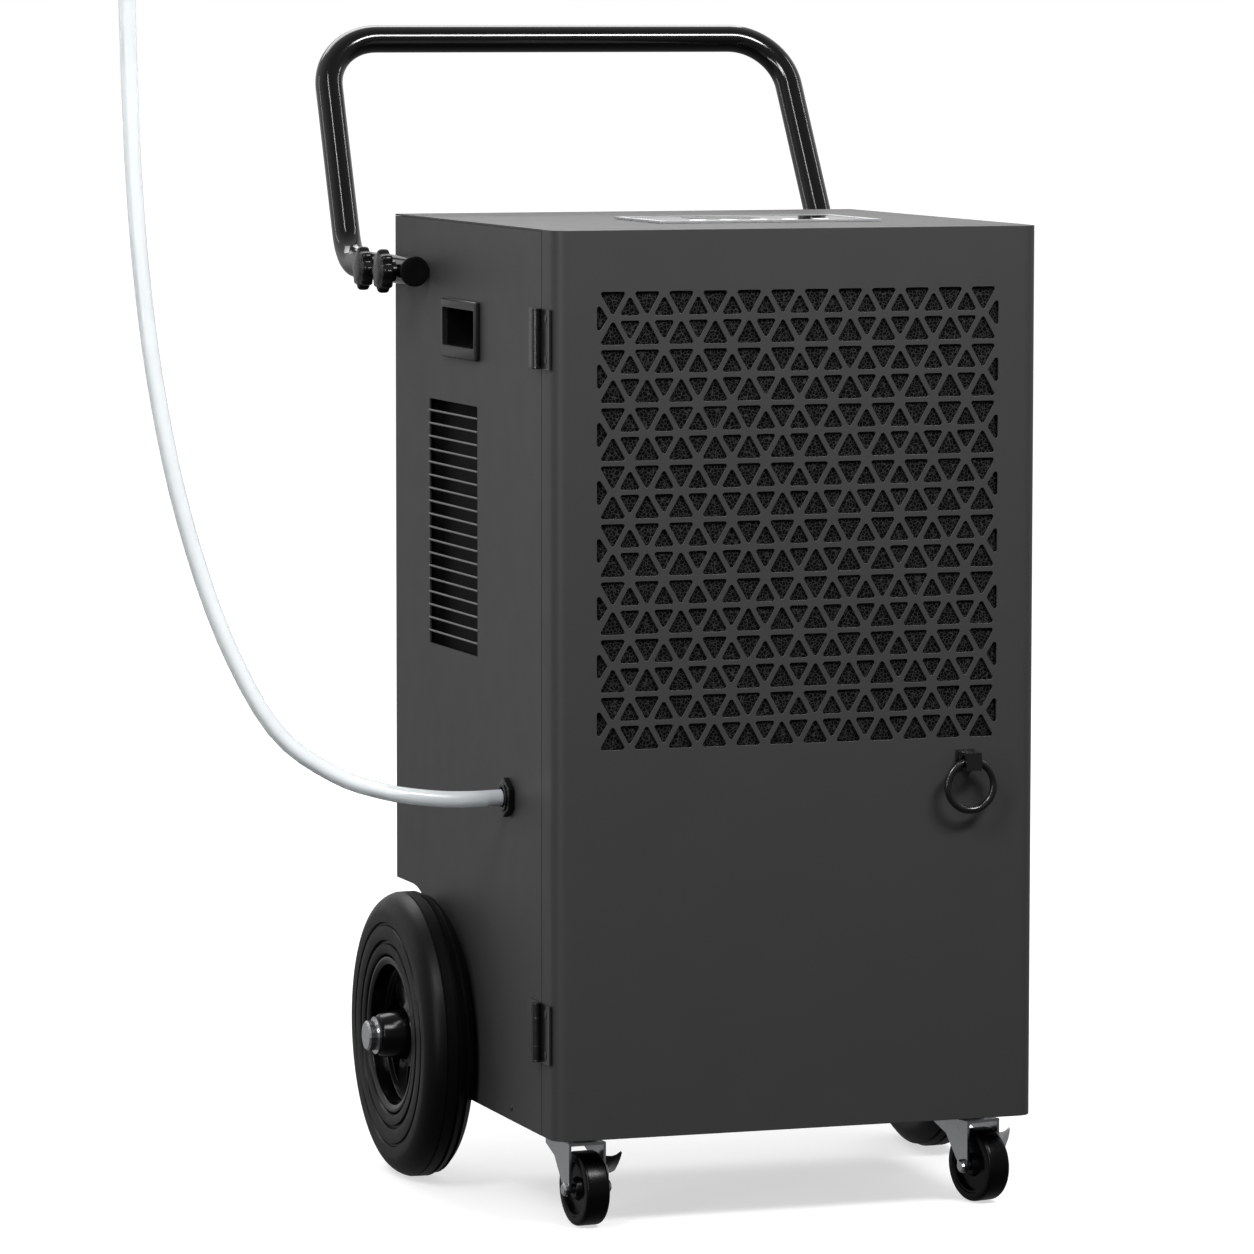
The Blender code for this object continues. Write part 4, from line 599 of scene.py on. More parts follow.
# ---- stage, camera and light --------------------------------------------------------------------
CAMERA_FROM_CORNER = Vector((-1.7413, -5.2593, 0.9576))   # from the cabinet's lower front left corner
CAMERA_TURN = (math.radians(84.551), math.radians(-0.055), math.radians(-19.052))
CAMERA_LENS = 191.73
PAPER_HALF = 55.0        # far enough that the paper has no edge in view
LIGHTS = (    # name, place, what it points at, size, watts
    ("key_softbox", (-1.9, -1.8, 2.5), (-0.1, -0.2, 0.75), (0.9, 0.9), 43.0),
    ("front_softbox", (0.9, -2.2, 2.5), (0.0, -0.3, 0.90), (1.2, 0.5), 78.0),
    ("side_softbox", (-2.6, 1.9, 1.5), (-0.2, 0.0, 0.9), (0.12, 1.6), 4.0),
    ("strip_light", (-3.0, -2.2, 1.1), (-0.2, 0.0, 0.7), (0.22, 2.0), 26.0),
    ("top_softbox", (0.0, 2.4, 2.9), (0.0, 0.0, 0.8), (3.0, 1.6), 62.0),
    ("handle_strip_left", (-1.3, -1.45, 3.1), (-0.2, 0.3, 0.9), (0.10, 1.4), 13.0),
    ("handle_strip_right", (2.0, 0.1, 2.1), (-0.2, 0.3, 0.9), (0.08, 1.2), 5.0),
)


class DEHUMIDIFIER_OT_stage(Operator):
    """Camera, backdrop paper and soft studio light"""

    bl_idname = "dehumidifier.stage"
    bl_label = "Stage"

    def execute(self, context):
        scene = context.scene
        lens = bpy.data.cameras.new("view_camera")
        lens.lens = CAMERA_LENS
        lens.sensor_width = 36.0
        lens.clip_end = 200.0         # past the far edge of the paper
        camera = bpy.data.objects.new("view_camera", lens)
        camera.location = PANEL_LOW + CAMERA_FROM_CORNER
        camera.rotation_euler = CAMERA_TURN
        scene.collection.objects.link(camera)
        scene.camera = camera

        paper = bmesh.new()
        bmesh.ops.create_grid(paper, x_segments=8, y_segments=8, size=PAPER_HALF)
        floor = add_object("floor_paper", mesh_from("floor_paper", paper), "seamless_paper", None)
        floor.location.z = -0.0005
        floor.visible_diffuse = floor.visible_glossy = False    # throws no light back up

        for light in LIGHTS:
            self.add_light(*light)

        scene.world = self.studio_world()
        scene.view_settings.view_transform = "Standard"
        return {"FINISHED"}

    @staticmethod
    def studio_world():
        """White behind everything; as light, dim from the front and from below."""
        world = bpy.data.worlds.new("studio")
        world.use_nodes = True
        tree = world.node_tree
        sky = tree.nodes["Background"]
        sky.inputs["Color"].default_value = (1.0, 1.0, 1.0, 1.0)
        place = add_node(tree, "ShaderNodeTexCoord")
        apart = add_node(tree, "ShaderNodeSeparateXYZ", links={"Vector": place.outputs["Generated"]})
        fade = add_node(tree, "ShaderNodeMapRange",
                        {"From Min": -0.55, "From Max": 0.55, "To Min": 0.22, "To Max": 0.7},
                        {"Value": apart.outputs["Y"]}, interpolation_type="SMOOTHSTEP")
        lift = add_node(tree, "ShaderNodeMapRange",
                        {"From Min": -0.35, "From Max": 0.15, "To Min": 0.25, "To Max": 1.0},
                        {"Value": apart.outputs["Z"]}, interpolation_type="SMOOTHSTEP")
        soft = add_node(tree, "ShaderNodeMath", operation="MULTIPLY",
                        links={0: fade.outputs["Result"], 1: lift.outputs["Result"]})
        seen = add_node(tree, "ShaderNodeLightPath")
        shown = add_node(tree, "ShaderNodeMath", operation="MAXIMUM",
                         links={0: soft.outputs[0], 1: seen.outputs["Is Camera Ray"]})
        tree.links.new(shown.outputs[0], sky.inputs["Strength"])
        return world

    @staticmethod
    def add_light(name, place, target, size, power):
        lamp = bpy.data.lights.new(name, "AREA")
        lamp.shape = "RECTANGLE"
        lamp.size, lamp.size_y = size
        lamp.energy = power
        made = bpy.data.objects.new(name, lamp)
        made.location = place
        made.rotation_euler = (Vector(target) - Vector(place)).to_track_quat("-Z", "Y").to_euler()
        made.visible_camera = False
        bpy.context.scene.collection.objects.link(made)


# ---- drain hose and outlet ----------------------------------------------------------------------
# (outwards, up) from the middle of the outlet nut, in its own upright plane.
HOSE_ROUTE = (
    (0.0000, 0.0000), (0.0300, -0.0004), (0.0615, 0.0016), (0.1015, 0.0085), (0.1480, 0.0255),
    (0.1990, 0.0650), (0.2430, 0.1450), (0.2760, 0.2430), (0.2970, 0.3380), (0.3100, 0.4310),
    (0.3175, 0.5240), (0.3210, 0.6130), (0.3225, 0.6700), (0.3230, 0.7060),
)
HOSE_GAP = 0.0003        # between the panel and what sits on it
SPAN_PIECES = 4


def smooth_route(route, pieces):
    """Points on a smooth curve through the route's points, with each span cut into pieces."""
    ends = [route[0] * 2 - route[1]] + list(route) + [route[-1] * 2 - route[-2]]
    points = []
    for a, b, c, d in zip(ends, ends[1:], ends[2:], ends[3:]):
        for i in range(pieces):
            t = i / pieces
            points.append(0.5 * ((2 * b) + (c - a) * t + (2 * a - 5 * b + 4 * c - d) * t ** 2
                                 + (3 * b - a - 3 * c + d) * t ** 3))
    points.append(route[-1])
    return points


class DEHUMIDIFIER_OT_hose(Operator):
    """Clear drain hose that rises from the outlet"""

    bl_idname = "dehumidifier.hose"
    bl_label = "Drain hose"

    def execute(self, context):
        low, _, middle = box_of("hose_outlet")
        start = Vector((low.x - HOSE_GAP, middle.y, middle.z))
        route = [start + Vector((-out, 0.0, up)) for out, up in HOSE_ROUTE]
        points = smooth_route(route, SPAN_PIECES)
        curve = tube_curve("drain_hose_clear", points, sizes().hose_radius, 8)
        hose = add_object("drain_hose_clear", curve, "extruded_clear_vinyl", "cabinet")
        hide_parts("drain_hose")
        paint_nodes("moulded_abs_black", "hose_tail")
        return {"FINISHED"}


class DEHUMIDIFIER_OT_outlet(Operator):
    """Hex outlet with its washer face and collar"""

    bl_idname = "dehumidifier.outlet"
    bl_label = "Drain outlet"

    def execute(self, context):
        low, high, middle = box_of("hose_outlet")
        leftwards = Vector((-1.0, 0.0, 0.0))
        across = (high.z - low.z) / 2 * 1.22        # middle to a corner
        outer = PANEL_LOW.x - HOSE_GAP
        depth = outer - low.x
        bore = sizes().hose_radius + 0.0016
        flats = [(across * math.sin(math.tau * i / 6), across * math.cos(math.tau * i / 6)) for i in range(6)]
        plate = outline_plate([rounded(flats, 0.0012, 3), circle((0, 0), bore, 32)], depth * 0.8, 0.0009)
        turn = Matrix.Translation((outer - depth * 0.4, middle.y, middle.z)) @ FACING_SIDE
        nut = curve_to_mesh(plate, turn)
        collar = revolved([(bore + 0.0034, depth * 0.5), (bore + 0.0034, depth - 0.0007),
                           (bore + 0.0027, depth), (bore + 0.0007, depth), (bore, depth - 0.0007),
                           (bore, depth * 0.5)], 40, Vector((outer, middle.y, middle.z)), leftwards)
        barb = sizes().hose_radius - 0.0022
        ridges = [(barb, -0.0060), (barb, 0.0075)]
        for start in (0.0080, 0.0120, 0.0160):
            ridges += [(barb + 0.0007, start), (barb - 0.0008, start + 0.0036)]
        ridges += [(0.0, 0.0200), (0.0, -0.0060)]
        spigot = revolved(ridges, 28, Vector((outer, middle.y, middle.z)), leftwards, False)
        add_piece("hose_spigot", spigot, "moulded_abs_blue", "cabinet")
        made = add_piece("hose_outlet_nut", joined(nut, collar), "moulded_abs_black", "cabinet")
        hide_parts("hose_outlet")
        return {"FINISHED"}


# ---- cabinet ------------------------------------------------------------------------------------
LOUVRE_SLOT = 0.0102
LOUVRE_LIP = 0.00117
LOUVRE_COUNT = 19
LOUVRE_TOP = CABINET_TOP - 0.157
LOUVRE_MIDDLE = FRONT_Y + 0.2425
LOUVRE_HALF = 0.137 / 2
GUARD_SHEET = 0.0012
GUARD_DEPTH = 0.0160            # from the outside of the panel
SCREWS = ((0.201, 0.0103), (0.081, 0.0109))        # behind the panel's front edge, above its foot


class DEHUMIDIFIER_OT_cabinet(Operator):
    """Sheet panels, with their louvre lips, dark guards and panel screws"""

    bl_idname = "dehumidifier.cabinet"
    bl_label = "Cabinet"

    def execute(self, context):
        paint_nodes("powder_coated_steel", "side_panel_left", "side_panel_right", "top_panel", "rear_panel",
                    "step_panel", "base_pan", "front_frame")
        for side, sign in SIDES.items():
            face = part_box(f"side_panel_{side}")[0 if sign < 0 else 1].x
            self.add_lips(side, sign, face)
            self.add_guard(side, sign, face)
            self.add_screws(side, sign, face)
        return {"FINISHED"}

    @staticmethod
    def add_lips(side, sign, face):
        """Rolled lips between the louvre slots, a little proud of the sheet, in the cabinet's coat made five
        times lighter as a painted highlight.
        """
        size = Vector((0.0009, LOUVRE_HALF + 0.0004, LOUVRE_LIP / 2 + 0.0001))
        bars = []
        for row in range(1, LOUVRE_COUNT):
            z = LOUVRE_TOP - row * (LOUVRE_SLOT + LOUVRE_LIP) + LOUVRE_LIP / 2
            centre = Vector((face + sign * 0.0001, LOUVRE_MIDDLE, z))
            bars.append(rounded_box(centre - size, centre + size, 0.0005))
        add_piece(f"louvre_lips_{side}", joined(*bars), "powder_coated_lip_highlight", "cabinet")

    @staticmethod
    def add_guard(side, sign, face):
        """Shallow tray inside the louvres, which keeps the inside out of sight; its near-black, dull finish
        is painted shade.
        """
        low_y, high_y = LOUVRE_MIDDLE - LOUVRE_HALF - 0.006, LOUVRE_MIDDLE + LOUVRE_HALF + 0.006
        low_z = LOUVRE_TOP - LOUVRE_COUNT * (LOUVRE_SLOT + LOUVRE_LIP) - 0.005
        high_z = LOUVRE_TOP + 0.006
        near, far = face - sign * (SHEET + 0.0004), face - sign * GUARD_DEPTH
        walls = []
        for (x0, x1), (y0, y1), (z0, z1) in (
                ((far, far + sign * GUARD_SHEET), (low_y, high_y), (low_z, high_z)),
                ((far, near), (low_y, low_y + GUARD_SHEET), (low_z, high_z)),
                ((far, near), (high_y - GUARD_SHEET, high_y), (low_z, high_z)),
                ((far, near), (low_y, high_y), (low_z, low_z + GUARD_SHEET)),
                ((far, near), (low_y, high_y), (high_z - GUARD_SHEET, high_z))):
            walls.append(rounded_box(Vector((min(x0, x1), y0, z0)), Vector((max(x0, x1), y1, z1)), 0.0004, 1))
        add_piece(f"louvre_guard_{side}", joined(*walls), "louvre_painted_shade", "cabinet")

    @staticmethod
    def add_screws(side, sign, face):
        dome = [(0.0, 0.0012), (0.0016, 0.0011), (0.0028, 0.0005), (0.0030, -0.0003), (0.0, -0.0003)]
        outward = Vector((sign, 0.0, 0.0))
        heads = [revolved(dome, 20, Vector((face, FRONT_Y + y, PANEL_LOW.z + z)), outward, False)
                 for y, z in SCREWS]
        add_piece(f"panel_screws_{side}", joined(*heads), "black_zinc_steel", "cabinet")


CUP_WALL = 0.0025
CUP_SIDE_RIM = 0.0048
CUP_TOP_RIM = 0.0078
CUP_FOOT_RIM = 0.0105
CUP_FLOOR_RISE = 0.014


class DEHUMIDIFIER_OT_cups(Operator):
    """Moulded carry cups with a slanted floor"""

    bl_idname = "dehumidifier.cups"
    bl_label = "Carry cups"

    def execute(self, context):
        for side, sign in SIDES.items():
            low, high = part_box(f"carry_cup_{side}")[:2]
            face, floor = (low.x, high.x) if sign < 0 else (high.x, low.x)
            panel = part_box(f"side_panel_{side}")[0 if sign < 0 else 1].x + sign * HOSE_GAP
            inner = floor + sign * CUP_WALL
            space_low = low + Vector((0.0, CUP_SIDE_RIM, CUP_FOOT_RIM))
            space_high = high - Vector((0.0, CUP_SIDE_RIM, CUP_TOP_RIM))
            inset = Vector((0.0, CUP_WALL - 0.0001, CUP_WALL - 0.0001))
            mouths = [self.block(face + sign * 0.004, inner, space_low, space_high, 0.0010) for _ in range(2)]
            flange = carved("cup", self.block(face, panel, low, high, 0.0017), mouths[0])
            rim = add_piece(f"carry_cup_rim_{side}", flange, "moulded_abs_charcoal", "cabinet")
            soft_edges(rim, 0.0004, 2, 50.0)
            cup = self.block(panel - sign * 0.0002, floor, space_low - inset, space_high + inset, 0.0008)
            wedge = self.wedge(inner - sign * 0.0002, panel, space_low, space_high)
            made = add_piece(f"carry_cup_pocket_{side}", joined(carved("cup", cup, mouths[1]), wedge),
                             "moulded_abs_black", "cabinet")
            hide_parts(f"carry_cup_{side}")
        return {"FINISHED"}

    @staticmethod
    def block(x_from, x_to, below, above, radius):
        return rounded_box(Vector((min(x_from, x_to), below.y, below.z)),
                           Vector((max(x_from, x_to), above.y, above.z)), radius, 3)

    @staticmethod
    def wedge(back, front, low, high):
        """Floor that falls from the back of the pocket to its mouth."""
        shape = bmesh.new()
        z = low.z - 0.0002
        v = [shape.verts.new(corner) for y in (low.y - 0.0002, high.y + 0.0002)
             for corner in ((back, y, z), (front, y, z), (back, y, z + CUP_FLOOR_RISE))]
        for corners in ((0, 1, 2), (3, 5, 4), (0, 3, 4, 1), (1, 4, 5, 2), (2, 5, 3, 0)):
            shape.faces.new([v[i] for i in corners])
        bmesh.ops.recalc_face_normals(shape, faces=shape.faces)
        return shape


KEY_COUNT = 5
KEY_PITCH = 0.028


class DEHUMIDIFIER_OT_controls(Operator):
    """Control panel: trim, window, display and keys"""

    bl_idname = "dehumidifier.controls"
    bl_label = "Control panel"

    def execute(self, context):
        paint_nodes("anodised_trim_strip", "control_bezel", edge=0.0005)
        high, middle = box_of("control_unit")[1:]
        paint_nodes("printed_acrylic_window", "control_unit", edge=0.0003)
        top = high.z
        display = rounded_box(Vector((middle.x - 0.050, middle.y - 0.005, top - 0.0006)),
                              Vector((middle.x + 0.010, middle.y + 0.030, top + 0.0002)), 0.0002)
        add_piece("control_display", display, "moulded_nylon_rim", "cabinet")
        key = [(0.0, 0.0002), (0.0070, 0.0002), (0.0080, -0.0002), (0.0080, -0.0008), (0.0, -0.0008)]
        keys = [revolved(key, 28, Vector((middle.x - 0.056 + index * KEY_PITCH, middle.y - 0.030, top)),
                         Vector((0.0, 0.0, 1.0)), False) for index in range(KEY_COUNT)]
        add_piece("control_keys", joined(*keys), "moulded_pp_white", "cabinet")
        return {"FINISHED"}


class DEHUMIDIFIER_OT_inside(Operator):
    """Coils, fan, compressor, tank and pump"""

    bl_idname = "dehumidifier.inside"
    bl_label = "Inside"

    def execute(self, context):
        paint_nodes("pressed_coil_fins", "evaporator", "condenser")
        paint_nodes("moulded_pp_white", "condensate_tray", "fan_shroud", "pump_tank")
        paint_nodes("black_zinc_steel", "fan_motor", edge=0.0008)
        paint_nodes("moulded_abs_black", "fan_impeller", "drain_pump", "power_inlet")
        paint_nodes("stoved_compressor_enamel", "compressor")
        paint_nodes("extruded_clear_vinyl", "pump_pipe")
        return {"FINISHED"}


# ---- door ---------------------------------------------------------------------------------------
def triangle(x, base, side, up):
    height = side * math.sin(math.radians(60.0)) * (1 if up else -1)
    return [(x - side / 2, base), (x + side / 2, base), (x, base + height)]


def grille_layout():
    """Corners of every hole, as (x, z) lists."""
    s = sizes()
    pitch_x, pitch_z = s.column_pitch, s.row_pitch
    width = (s.grille_columns - 1) * pitch_x + s.big_hole + s.row_bar
    top_z = CABINET_TOP - s.grille_drop
    first = -(s.grille_columns - 1) / 2 * pitch_x
    bar = s.row_bar / 2
    holes = []
    for pair in range(s.grille_rows):
        top = top_z - pair * pitch_z
        middle, bottom = top - pitch_z / 2, top - pitch_z
        for column in range(s.grille_columns):
            x = first + column * pitch_x
            holes += [triangle(x, top - bar, s.big_hole, False), triangle(x, bottom + bar, s.big_hole, True)]
        for column in range(s.grille_columns - 1):
            x = first + (column + 0.5) * pitch_x
            holes += [triangle(x, middle + bar, s.small_hole, True),
                      triangle(x, middle - bar, s.small_hole, False)]
        for sign in (-1.0, 1.0):
            edge = sign * width / 2
            holes.append([(edge, middle - 0.6 * s.big_hole), (edge, middle + 0.6 * s.big_hole),
                          (edge - 0.4 * sign * s.big_hole, middle)])
    return holes


class DEHUMIDIFIER_OT_door(Operator):
    """Folded door with its pattern of rounded triangular holes"""

    bl_idname = "dehumidifier.door"
    bl_label = "Grille door"

    def execute(self, context):
        s = sizes()
        half = DOOR_HIGH.x
        front, back = DOOR_LOW.y, DOOR_HIGH.y
        outer = self.fold(half, front, back, s.door_corner)
        inner = self.fold(half - SHEET, front + SHEET, back, s.door_corner - SHEET)
        shape = bmesh.new()
        rings = []
        for outline, low, high in ((outer, DOOR_LOW.z, DOOR_HIGH.z),
                                   (inner, DOOR_LOW.z + SHEET, DOOR_HIGH.z - SHEET)):
            bottom = [shape.verts.new((x, y, low)) for x, y in outline]
            top = [shape.verts.new((x, y, high)) for x, y in outline]
            rings.append((bottom, top))
            for i in range(len(outline) - 1):
                shape.faces.new((bottom[i], bottom[i + 1], top[i + 1], top[i]))
            shape.faces.new(bottom)
            shape.faces.new(top)
        (b0, t0), (b1, t1) = rings
        shape.faces.new((b0[0], b0[-1], b1[-1], b1[0]))
        shape.faces.new((t0[0], t1[0], t1[-1], t0[-1]))
        shape.faces.new((b0[0], b1[0], t1[0], t0[0]))
        shape.faces.new((b0[-1], t0[-1], t1[-1], b1[-1]))
        bmesh.ops.recalc_face_normals(shape, faces=shape.faces)
        holes = [rounded(hole, s.hole_corner, 4) for hole in grille_layout()]
        turn = Matrix.Translation((0.0, front + SHEET / 2, 0.0)) @ FACING_FRONT
        tool = curve_to_mesh(outline_plate(holes, 3 * SHEET), turn)
        door = add_piece("door_folded", carved("door", shape, tool), "powder_coated_steel", "door")
        soft_edges(door, s.hole_edge, 2, 40.0)
        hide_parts("door_panel")
        return {"FINISHED"}

    @staticmethod
    def fold(half, front, back, radius):
        """Section of the folded sheet, from one back edge round the face to the other."""
        steps = 8
        points = [(-half, back)]
        for sign, angles in ((-1.0, range(steps + 1)), (1.0, range(steps, -1, -1))):
            centre = (sign * (half - radius), front + radius)
            for i in angles:
                a = math.pi / 2 * i / steps
                points.append((centre[0] + sign * radius * math.cos(a), centre[1] - radius * math.sin(a)))
        points.append((half, back))
        return points


class DEHUMIDIFIER_OT_filter(Operator):
    """Foam filter and its frame behind the grille"""

    bl_idname = "dehumidifier.filter"
    bl_label = "Filter"

    def execute(self, context):
        paint_nodes("moulded_abs_black", "filter_frame")
        low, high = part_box("filter_foam")[:2]
        shape = bmesh.new()
        across, up = 48, 52
        bmesh.ops.create_grid(shape, x_segments=across, y_segments=up, size=0.5)
        for vert in shape.verts:
            u, v = vert.co.x, vert.co.y
            edge = min(0.5 - abs(u), 0.5 - abs(v)) * 2
            sink = 0.0016 * (1 - min(1.0, edge * 12)) ** 2
            wave = 0.0005 * (1 + noise.noise(Vector((u * 9, v * 9, 0.3))))
            vert.co = (low.x + (u + 0.5) * (high.x - low.x), low.y + sink + wave,
                       low.z + (v + 0.5) * (high.z - low.z))
        rim = [edge for edge in shape.edges if edge.is_boundary]
        grown = bmesh.ops.extrude_edge_only(shape, edges=rim)["geom"]
        for vert in (v for v in grown if isinstance(v, bmesh.types.BMVert)):
            vert.co.y = high.y
        bmesh.ops.contextual_create(shape, geom=[e for e in shape.edges if e.is_boundary])
        bmesh.ops.recalc_face_normals(shape, faces=shape.faces)
        foam = add_piece("filter_foam_pad", shape, "reticulated_filter_foam", "door")
        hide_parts("filter_foam")
        return {"FINISHED"}


class DEHUMIDIFIER_OT_ring_pull(Operator):
    """Ring pull with its lug and mounting plate"""

    bl_idname = "dehumidifier.ring_pull"
    bl_label = "Ring pull"

    def execute(self, context):
        low, high, middle = box_of("ring_pull")
        wire = (high.y - low.y) / 2
        radius = (high.x - low.x) / 2 - wire
        section = [(radius + wire * math.cos(a) * (1.0 if abs(math.cos(a)) < 0.99 else 0.995),
                    wire * 0.94 * math.sin(a)) for a in (math.tau * i / 20 for i in range(20))]
        shape = revolved(section, 72, middle, Vector((0.0, -1.0, 0.0)))
        ring = add_piece("ring_pull_wire", shape, "black_zinc_steel", "pull_ring")
        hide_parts("ring_pull")
        paint_nodes("black_zinc_steel", "ring_lug", edge=0.0007)
        lug_low, lug_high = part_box("ring_lug")[:2]
        rim = 0.0016
        plate = rounded_box(Vector((lug_low.x - rim, DOOR_LOW.y - rim, lug_low.z - rim)),
                            Vector((lug_high.x + rim, DOOR_LOW.y + 0.0001, lug_high.z + rim)), 0.0005)
        add_piece("ring_lug_plate", plate, "black_zinc_steel", "door")
        return {"FINISHED"}


class DEHUMIDIFIER_OT_hinges(Operator):
    """Butt hinges with knuckles, pin heads and screws"""

    bl_idname = "dehumidifier.hinges"
    bl_label = "Hinges"

    def execute(self, context):
        dome = [(0.0, 0.0003), (0.0016, 0.0007), (0.0032, 0.0004), (0.0034, -0.0003), (0.0, -0.0003)]
        ring = [(0.0044, -0.0005), (0.0046, -0.0002), (0.0046, 0.0002), (0.0044, 0.0005), (0.0040, 0.0)]
        for place in ("lower", "upper"):
            pin_low, pin_high, axis = box_of(f"{place}_hinge_pin")
            for leaf, body, direction in (("frame", "cabinet", 1.0), ("door", "door", -1.0)):
                node = f"{place}_hinge_{leaf}_leaf"
                paint_nodes("black_zinc_steel", node, edge=0.0005)
                low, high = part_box(node)[:2]
                screws = []
                for share in (-0.34, 0.34):
                    centre = Vector((PANEL_LOW.x - HOSE_GAP - 0.0020, axis.y + direction * 0.0170,
                                     axis.z + share * (high.z - low.z)))
                    screws.append(revolved(dome, 20, centre, Vector((-1.0, 0.0, 0.0)), False))
                add_piece(f"{place}_hinge_{leaf}_screws", joined(*screws), "black_zinc_steel", body)
            paint_nodes("black_zinc_steel", f"{place}_hinge_pin")
            seams = []
            for share in (-0.5, -0.25, 0.25, 0.5):
                level = axis + Vector((0.0, 0.0, share * 0.96 * (pin_high.z - pin_low.z)))
                seams.append(revolved(ring, 24, level, Vector((0.0, 0.0, 1.0))))
            add_piece(f"{place}_hinge_seams", joined(*seams), "black_zinc_steel", "cabinet")
        return {"FINISHED"}


# ---- wheels -------------------------------------------------------------------------------------
class DEHUMIDIFIER_OT_rear_wheels(Operator):
    """Ribbed solid tyres on glossy spoked rims"""

    bl_idname = "dehumidifier.rear_wheels"
    bl_label = "Rear wheels"

    def execute(self, context):
        paint_nodes("bright_zinc_steel", "rear_axle", edge=0.0006)
        for side, sign in SIDES.items():
            low, high, middle = box_of(f"rear_tyre_{side}")
            outward = Vector((sign, 0.0, 0.0))
            self.add_tyre(side, middle, outward, (high.z - low.z) / 2, (high.x - low.x) / 2)
            self.add_rim(side, middle, outward)
            paint_nodes("bright_zinc_steel", f"axle_nut_{side}", edge=0.0004)
        return {"FINISHED"}

    @staticmethod
    def add_tyre(side, middle, outward, radius, half):
        bead, shoulder = 0.0692, 0.020
        flat = half - shoulder
        steps = 14
        outer = [(radius - shoulder + shoulder * math.sin(math.pi / 2 * i / steps),
                  flat + shoulder * math.cos(math.pi / 2 * i / steps)) for i in range(steps + 1)]
        wall = [(bead, half - 0.0045), (bead + 0.0018, half - 0.0016), (bead + 0.0040, half - 0.0008),
                (bead + 0.0100, half - 0.0010), (bead + 0.0108, half - 0.0034),
                (bead + 0.0130, half - 0.0036), (bead + 0.0140, half - 0.0010),
                (bead + 0.0200, half - 0.0001), (bead + 0.0262, half - 0.0006),
                (bead + 0.0270, half - 0.0024), (bead + 0.0286, half - 0.0024),
                (bead + 0.0296, half - 0.0006)]
        arc = [(r, h) for r, h in outer if r > bead + 0.0360]
        grooves = []
        for centre, wide in ((0.0060, 0.0010), (-0.0045, 0.0016), (-0.0125, 0.0016)):
            sink = 0.0022 if centre < 0.0 else 0.0010
            drop = max(0.0, abs(centre) - flat)
            rim = radius - shoulder + shoulder * math.sqrt(1 - drop ** 2 / shoulder ** 2)
            grooves += [(rim, centre + wide), (rim - sink, centre + 0.5 * wide),
                        (rim - sink, centre - 0.5 * wide), (rim, centre - wide)]
        section = wall + [point for point in arc if point[1] > 0.0075] + grooves
        section += [(r, -h) for r, h in reversed(arc) if h > 0.0145] + [(r, -h) for r, h in reversed(wall)]
        shape = revolved(section, 96, middle, outward)
        tyre = add_piece(f"rear_tyre_moulded_{side}", shape, "vulcanised_tyre_rubber", f"rear_wheel_{side}",
                         32.0)
        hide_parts(f"rear_tyre_{side}")

    @staticmethod
    def add_rim(side, middle, outward):
        rim, lip, hub, bore = 0.0685, 0.0205, 0.0215, 0.0086
        wall, outside, inside = 0.0068, 0.0318, -0.0228
        section = [(rim, lip), (rim, -lip), (rim - 0.0020, -lip - 0.0003), (rim - wall, -lip),
                   (rim - wall - 0.0015, -0.0065), (rim - wall - 0.0060, -0.0048), (hub + 0.0060, -0.0048),
                   (hub + 0.0010, -0.0075), (hub, inside), (bore, inside), (bore, outside),
                   (hub - 0.0050, outside), (hub - 0.0032, outside - 0.0018), (hub + 0.0010, 0.0075),
                   (hub + 0.0060, 0.0048), (rim - wall - 0.0060, 0.0048), (rim - wall - 0.0015, 0.0065),
                   (rim - wall, lip - 0.0012), (rim - 0.0035, lip + 0.0002), (rim - 0.0012, lip + 0.0004)]
        disc = revolved(section, 80, middle, outward)
        spokes, half_spoke, flare = 5, 0.24, 0.18        # angles in radians
        inner, outer = hub + 0.0075, rim - wall - 0.0075
        holes = []
        for spoke in range(spokes):
            start = math.tau * spoke / spokes + half_spoke
            end = math.tau * (spoke + 1) / spokes - half_spoke
            arc = [start + (end - start) * i / 7 for i in range(8)]
            narrow = [start + flare + (end - start - 2 * flare) * i / 5 for i in range(6)]
            outline = [(outer * math.cos(a), outer * math.sin(a)) for a in arc]
            outline += [(inner * math.cos(a), inner * math.sin(a)) for a in reversed(narrow)]
            holes.append(outline)
        tool = curve_to_mesh(outline_plate(holes, 0.020), Matrix.Translation(middle) @ FACING_SIDE)
        made = add_piece(f"rear_rim_moulded_{side}", carved("rim", disc, tool), "moulded_nylon_rim",
                         f"rear_wheel_{side}", 38.0)
        soft_edges(made, 0.0007, 2, 45.0)
        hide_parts(f"rear_rim_{side}")


